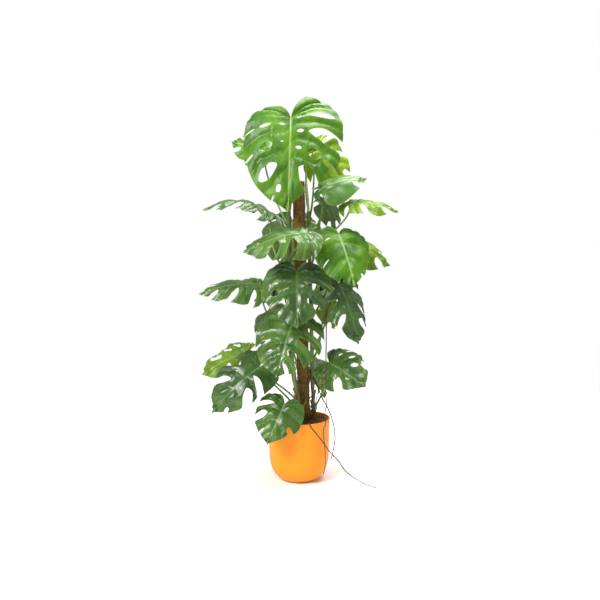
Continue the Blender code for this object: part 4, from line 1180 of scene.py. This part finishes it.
def make_pot(material):
    quarter = [math.pi / 2.0 * i / LIP_STEPS for i in range(LIP_STEPS + 1)]
    corner = [POT_SHOULDER_HEIGHT * (1.0 - math.sin(math.pi / 2.0 * i / CORNER_STEPS))
              for i in range(CORNER_STEPS + 1)]
    sides = [POT_SIDE_TOP - (POT_SIDE_TOP - POT_SHOULDER_HEIGHT) * i / SIDE_STEPS for i in range(SIDE_STEPS)]
    middle = POT_HEIGHT - LIP_RADIUS
    lip = [(POT_RIM_RADIUS - LIP_RADIUS + LIP_RADIUS * math.sin(a), middle + LIP_RADIUS * math.cos(a))
           for a in quarter]
    inner_lip = [(POT_RIM_RADIUS - POT_WALL + LIP_RADIUS - LIP_RADIUS * math.sin(a),
                  middle + LIP_RADIUS * math.cos(a)) for a in quarter[::-1]]
    outside = [(pot_radius(z), z) for z in sides + corner]
    inside = [(pot_radius(z) - POT_WALL, max(z, POT_WALL)) for z in [*INNER_SIDE_HEIGHTS, *corner[:-4]]]
    profile = [(0.0, POT_WALL)] + inside[::-1] + inner_lip + lip + outside + [(0.0, 0.0)]
    shape = Shape()
    add_turned(shape, profile, TURN_STEPS)
    make_piece("pot_piece", shape, [material], ["pot"], 40.0, kept=())


def soil_height(x, y):
    points = np.stack([x, y, np.zeros_like(x)], axis=-1).reshape(-1, 3)
    rough = 0.0022 * ripple(points, 11, 0.050) + 0.0012 * ripple(points, 12, 0.017)
    rough += 0.0006 * ripple(points, 13, 0.0065)
    distance = np.hypot(x, y).ravel() / SOIL_EDGE_RADIUS
    calm = np.clip((1.02 - distance) * 8.0, 0.15, 1.0)
    return SOIL_HEIGHT + SOIL_CROWN * (1.0 - distance ** 2) + rough * calm


def make_soil(material, crumb_material):
    shape = Shape()
    outer = pot_radius(SOIL_HEIGHT) - POT_WALL - SOIL_GAP
    angles = turn_angles(SOIL_STEPS)
    radii = outer * (np.arange(1, SOIL_RINGS + 1) / SOIL_RINGS) ** 0.85
    x = np.outer(radii, np.cos(angles)).ravel()
    y = np.outer(radii, np.sin(angles)).ravel()
    top = np.stack([x, y, soil_height(x, y)], axis=1)
    side = [(pot_radius(z) - POT_WALL - SOIL_GAP, max(z, POT_WALL + SOIL_GAP)) for z in SOIL_SIDE_HEIGHTS]
    lower = [(r * math.cos(a), r * math.sin(a), z) for r, z in side for a in angles]
    middle = soil_height(np.zeros(1), np.zeros(1))[0]
    points = np.concatenate([top, np.array(lower), [(0.0, 0.0, middle), (0.0, 0.0, side[-1][1])]])
    shape.add(points, ring_faces(SOIL_RINGS + len(side), SOIL_STEPS, flipped=True), 0)
    add_crumbs(shape, outer)
    make_piece("soil_piece", shape, [material, crumb_material], ["soil"], kept=())


def add_crumbs(shape, outer):
    """Lumps of bark and soil strewn over the top."""
    ball = bmesh.new()
    bmesh.ops.create_icosphere(ball, subdivisions=2, radius=1.0)
    base = np.array([v.co for v in ball.verts])
    faces = [tuple(v.index for v in f.verts) for f in ball.faces]
    ball.free()
    draw = np.random.default_rng(21)
    for number in range(CRUMB_COUNT):
        angle = draw.uniform(0.0, math.tau)
        radius = outer * 0.965 * math.sqrt(draw.uniform(0.0, 1.0))
        x, y = radius * math.cos(angle), radius * math.sin(angle)
        size = draw.uniform(*CRUMB_SIZES) * (0.8 if radius > outer * 0.9 else 1.0)
        lump = base * (1.0 + 0.22 * ripple(base + draw.uniform(-9.0, 9.0, 3), number, 1.3)[:, None])
        lump = lump * draw.uniform(0.5, 1.2, 3) * size
        turn = draw.uniform(0.0, math.tau)
        spin = np.array([[math.cos(turn), -math.sin(turn), 0.0], [math.sin(turn), math.cos(turn), 0.0],
                         [0.0, 0.0, 1.0]])
        height = soil_height(np.array([x]), np.array([y]))[0]
        shape.add(lump @ spin.T + (x, y, height + size * 0.25), faces, 1)


# Pole, stems and roots

def make_pole(material, fibre_material):
    shape = Shape()
    heights = np.linspace(POLE_FOOT_HEIGHT, POLE_TOP_HEIGHT, POLE_RINGS)
    angles = turn_angles(POLE_STEPS)
    radius = POLE_RADIUS - POLE_SKIN
    unit = np.stack([np.tile(np.cos(angles), POLE_RINGS), np.tile(np.sin(angles), POLE_RINGS),
                     np.repeat(heights, POLE_STEPS)], axis=1)
    sample = unit * (radius, radius, 1.0)
    bump = 0.0008 * ripple(sample, 31, 0.030) + 0.0006 * ripple(sample, 32, 0.010)
    bump += 0.0005 * ripple(sample * (1.0, 1.0, 0.5), 33, 0.0045)
    spread = radius + bump
    centre_x = POLE_X_AT_SOIL + POLE_LEAN * (unit[:, 2] - POT_HEIGHT)
    points = np.stack([centre_x + unit[:, 0] * spread, unit[:, 1] * spread, unit[:, 2]], axis=1)
    ends = [tuple(pole_centre(POLE_FOOT_HEIGHT)), tuple(pole_centre(POLE_TOP_HEIGHT - 0.001))]
    points = np.concatenate([points, np.array(ends)])
    shape.add(points, ring_faces(POLE_RINGS, POLE_STEPS), 0)
    add_fibres(shape)
    make_piece("coir_pole_piece", shape, [material, fibre_material], ["coir_pole"], kept=())


def add_fibres(shape):
    """Loose fibres that lie round the pole at all slopes, some with a lifted end."""
    draw = random.Random(41)
    for _ in range(FIBRE_COUNT):
        height = draw.uniform(FIBRE_LOWEST, POLE_TOP_HEIGHT - 0.004)
        angle = draw.uniform(0.0, math.tau)
        slope = draw.gauss(0.0, 0.9)
        length = draw.uniform(*FIBRE_LENGTHS)
        turn = length * math.cos(math.atan(slope)) / POLE_RADIUS * draw.choice((-1.0, 1.0))
        climb = length * math.sin(math.atan(slope))
        lift = draw.choice((0.0, 0.0, 0.0006, 0.0022)) * draw.uniform(0.5, 1.0)
        bend = draw.uniform(-0.004, 0.004)
        route = []
        for i in range(6):
            share = i / 5.0
            a = angle + turn * share
            z = height + climb * share + bend * math.sin(math.pi * share)
            z = min(max(z, FIBRE_LOWEST), POLE_TOP_HEIGHT + 0.002)
            r = POLE_RADIUS - 0.0006 + lift * share * share
            centre = pole_centre(z)
            route.append((centre.x + r * math.cos(a), r * math.sin(a), z))
        thick = draw.uniform(*FIBRE_RADII)
        add_tube(shape, route, [thick * share for share in FIBRE_THINNING], 4, 1)


def stem_nodes(name, draw):
    """Heights of a stem's nodes: one at each stalk, and more in the bare stretches."""
    nodes = [leaf.foot for leaf in LEAVES if leaf.stem == name]
    height = LOWEST_NODE
    while height < STEMS[name][1][-1][2] - 0.02:
        if min((abs(height - place) for place in nodes), default=1.0) > NODE_CLEARANCE:
            nodes.append(height)
        height += draw.uniform(*NODE_STEPS)
    return nodes


def make_stem(name, stem_material, sheath_material):
    radius, points = STEMS[name]
    route = smooth_route(points, 40)
    draw = random.Random(name)
    nodes = stem_nodes(name, draw)
    radii = []
    nearest = []
    for place in route:
        gap = min(abs(place.z - node) for node in nodes)
        swell = 1.0 + 0.07 * math.exp(-(gap / 0.0045) ** 2) - 0.02
        radii.append(radius * swell * (1.0 - 0.12 * max(0.0, place.z - 0.9)))
        nearest.append(gap)
    shape = Shape()
    add_tube(shape, route, radii, 20, 0, along=[place.z for place in route], edge=nearest)
    for node in nodes:
        dry = node < DRY_BELOW or draw.random() < DRY_SHARE
        if dry and node > LOWEST_SHEATH:
            add_sheath(shape, name, node, radius, draw)
    add_dead_stalks(shape, name, radius)
    make_piece(f"{name}_piece", shape, [stem_material, sheath_material], [name], 50.0,
               kept=("along", "edge"))


def add_dead_stalks(shape, name, radius):
    """Dried stubs of old leaf stalks, which lean out from the stem's foot."""
    draw = random.Random(f"{name}_stubs")
    for _ in range(DEAD_STALKS[name]):
        facing = draw.uniform(0.0, math.tau)
        out = Vector((math.cos(facing), math.sin(facing), 0.0))
        start = stem_point(name, draw.uniform(*DEAD_STALK_FEET)) + out * radius * 0.5
        rise = (out * draw.uniform(0.20, 0.75) + Vector((0.0, 0.0, 1.0))).normalized()
        length = draw.uniform(*DEAD_STALK_LENGTHS)
        bow = draw.uniform(-0.10, 0.25) * length
        line = [start + rise * (length * i / 9.0) + out * (bow * (i / 9.0) ** 2) for i in range(10)]
        thick = draw.uniform(*DEAD_STALK_RADII)
        add_tube(shape, line, [thick * (1.0 - 0.055 * i) for i in range(10)], 9, 1)


def add_sheath(shape, name, node, radius, draw):
    """A papery remnant that clasps the stem at a node and ends in a torn, leaning tip."""
    length = draw.uniform(*SHEATH_LENGTHS)
    facing = draw.uniform(0.0, math.tau)
    half_span = draw.uniform(1.0, 1.7)
    flare = draw.uniform(0.002, 0.007)
    places = []
    for i in range(SHEATH_ROWS):
        share = i / (SHEATH_ROWS - 1)
        centre = stem_point(name, min(node - 0.004 + length * share, STEMS[name][1][-1][2] - 0.001))
        span = half_span * (1.0 - 0.80 * share ** 1.6)
        for j in range(SHEATH_COLUMNS):
            across = 2.0 * j / (SHEATH_COLUMNS - 1) - 1.0
            angle = facing + span * across
            r = radius * 1.03 + 0.0009 + flare * share ** 2 * (1.0 - 0.4 * across ** 2)
            r += 0.0006 * math.sin(across * 9.0 + node * 90.0) * share
            rise = centre.z - 0.004 * share * across ** 2
            places.append((centre.x + r * math.cos(angle), centre.y + r * math.sin(angle), rise))
    points = np.array(places)
    quads = grid_faces(SHEATH_ROWS, SHEATH_COLUMNS, 0, False)
    offset = sheet_normals(points, quads) * SHEATH_HALF_THICKNESS
    both = np.concatenate([points + offset, points - offset])
    shape.add(both, sheet_faces([tuple(face) for face in quads.tolist()], len(points)), 1)


def knotted(angles, i):
    """Section of a root, with three low ridges that wind along it."""
    return 1.0 + 0.08 * np.sin(angles * 3.0 + i * 0.35)


def make_root(name, material):
    radius, points = ROOTS[name]
    route = smooth_route(points, 12)
    count = len(route)
    path = np.array(route)
    seed = sum(map(ord, name))
    wobble = ripple(path, seed, 0.018, 4)
    radii = [radius * (1.0 - ROOT_TAPER * i / (count - 1)) * (1.0 + 0.09 * wobble[i]) for i in range(count)]
    radii[-1] *= 0.35
    radii[-2] *= 0.75
    shape = Shape()
    add_tube(shape, route, radii, 10, 0, swell=knotted)
    add_rootlets(shape, route, radii, random.Random(seed))
    make_piece(f"{name}_piece", shape, [material], [name], kept=())


def add_rootlets(shape, route, radii, draw):
    """Short hair-fine side roots, which hang from the root clear of the floor."""
    for i in range(6, len(route) - 3):
        if route[i].z < 0.03 or draw.random() > 0.10:
            continue
        across = (draw.uniform(-1.0, 1.0), draw.uniform(-1.0, 1.0))
        side = Vector((*across, draw.uniform(-1.2, 0.1))).normalized()
        length = draw.uniform(0.004, 0.012)
        start = route[i]
        line = [start + side * (length * share) - Vector((0.0, 0.0, length * 0.4 * share * share))
                for share in (0.0, 0.35, 0.7, 1.0)]
        add_tube(shape, line, [radii[i] * share for share in (0.35, 0.28, 0.2, 0.1)], 5, 0)


def make_tie(number, height, material):
    """Two turns of coated wire round the pole, with their ends twisted together."""
    shape = Shape()
    centre = pole_centre(height)
    radius = POLE_RADIUS + 0.0010
    route = []
    for i in range(121):
        angle = -math.pi / 2.0 + math.tau * 2.0 * i / 120.0
        z = centre.z + 0.0022 * (i / 60.0 - 1.0)
        route.append((centre.x + radius * math.cos(angle), centre.y + radius * math.sin(angle), z))
    add_tube(shape, route, [WIRE_RADIUS] * len(route), 8, 0)
    for turn in (0.0, math.pi):
        twist = []
        for i in range(26):
            share = i / 25.0
            angle = turn + share * math.tau * 2.5
            out = radius - 0.0004 + 0.011 * share
            twist.append((centre.x + 0.0010 * math.cos(angle), centre.y - out,
                          centre.z + 0.0010 * math.sin(angle) - 0.004 * share))
        add_tube(shape, twist, [0.0007] * len(twist), 6, 0)
    make_piece(f"tie_wire_{number}_piece", shape, [material], [f"tie_wire_{number}"], kept=())


def make_spear(material):
    """A new leaf, rolled tight, with the seam of its last turn winding up it."""
    foot, tip = Vector(SPEAR_FOOT), Vector(SPEAR_TIP)
    shares = [i / (SPEAR_POINTS - 1) for i in range(SPEAR_POINTS)]
    bend = Vector(SPEAR_BEND)
    route = [foot.lerp(tip, share) + bend * math.sin(math.pi * share) for share in shares]
    swell = [0.80 + 0.20 * min(1.0, share / 0.25) if share < 0.25 else
             max(0.10, 1.0 - 0.90 * ((share - 0.25) / 0.75) ** 1.4) for share in shares]
    radii = [SPEAR_RADIUS * k for k in swell]

    def seam(angles, i):
        turned = (angles - shares[i] * 7.0) % math.tau
        return 1.0 - 0.16 * (turned / math.tau) ** 3

    shape = Shape()
    add_tube(shape, route, radii, 28, 0, swell=seam, along=shares)
    make_piece("new_leaf_spear_piece", shape, [material], ["new_leaf_spear"], kept=("along",))


# Stage

def make_floor():
    mesh = bpy.data.meshes.new("floor")
    shape = bmesh.new()
    bmesh.ops.create_circle(shape, cap_ends=True, segments=96, radius=FLOOR_RADIUS)
    shape.to_mesh(mesh)
    shape.free()
    floor = bpy.data.objects.new("floor", mesh)
    floor.location.z = -FLOOR_DROP
    bpy.context.scene.collection.objects.link(floor)
    f = Finish("pale_floor")
    colour = f.mix(f.noise(0.6, 1.0), *SHADES["floor"])
    f.set(Base_Color=colour, Roughness=1.0, Specular_IOR_Level=0.0)
    mesh.materials.append(f.material)


def add_area(name, place, size, power):
    data = bpy.data.lights.new(name, "AREA")
    data.shape = "SQUARE"
    data.size = size
    data.energy = power
    light = bpy.data.objects.new(name, data)
    light.location = place
    light.rotation_euler = (Vector(LIGHT_TARGET) - Vector(place)).to_track_quat("-Z", "Y").to_euler()
    bpy.context.scene.collection.objects.link(light)


def sky_ramp(tree, value, low, high, start, end):
    node = tree.nodes.new("ShaderNodeMapRange")
    tree.links.new(value, node.inputs["Value"])
    for name, number in (("From Min", low), ("From Max", high), ("To Min", start), ("To Max", end)):
        node.inputs[name].default_value = number
    return node.outputs["Result"]


def add_sky(tree):
    """Plain white where it is seen; as a light it is dimmer, and dimmest overhead."""
    background = tree.nodes["Background"]
    background.inputs["Color"].default_value = (1.0, 1.0, 1.0, 1.0)
    direction = tree.nodes.new("ShaderNodeTexCoord")
    parts = tree.nodes.new("ShaderNodeSeparateXYZ")
    path = tree.nodes.new("ShaderNodeLightPath")
    product = tree.nodes.new("ShaderNodeMath")
    product.operation = "MULTIPLY"
    tree.links.new(direction.outputs["Generated"], parts.inputs["Vector"])
    level = sky_ramp(tree, parts.outputs["Z"], *SKY_FADE, 1.0, SKY_OVERHEAD)
    share = sky_ramp(tree, path.outputs["Is Camera Ray"], 0.0, 1.0, SKY_AS_LIGHT, 1.0)
    tree.links.new(level, product.inputs[0])
    tree.links.new(share, product.inputs[1])
    tree.links.new(product.outputs["Value"], background.inputs["Strength"])


def make_stage():
    make_floor()
    scene = bpy.context.scene
    world = bpy.data.worlds.new("studio")
    scene.world = world
    world.use_nodes = True
    add_sky(world.node_tree)
    for light in LIGHTS:
        add_area(*light)
    camera = bpy.data.cameras.new("camera")
    camera.sensor_width = SENSOR_WIDTH
    camera.lens = CAMERA_LENS
    eye = bpy.data.objects.new("camera", camera)
    eye.location = CAMERA_PLACE
    eye.rotation_euler = (math.radians(90.0 - CAMERA_DIP), 0.0, 0.0)
    scene.collection.objects.link(eye)
    scene.camera = eye
    scene.view_settings.view_transform = "Standard"


def build():
    blades = {tone: blade_finish(tone) for tone in TONES}
    stalks = {tone: stalk_finish(tone) for tone in TONES}
    for leaf in LEAVES:
        make_leaf(leaf, blades[leaf.tone], stalks[leaf.tone])
    bark = stem_finish()
    sheath = sheath_finish()
    for name in STEMS:
        make_stem(name, bark, sheath)
    make_pot(pot_finish())
    make_soil(soil_finish("potting_soil", SHADES["soil"]), soil_finish("soil_crumbs", SHADES["crumb"]))
    make_pole(coir_finish(), fibre_finish())
    wire = wire_finish()
    for number, height in enumerate(TIE_HEIGHTS, start=1):
        make_tie(number, height, wire)
    root = root_finish()
    for name in ROOTS:
        make_root(name, root)
    make_spear(spear_finish())
    make_stage()


build()
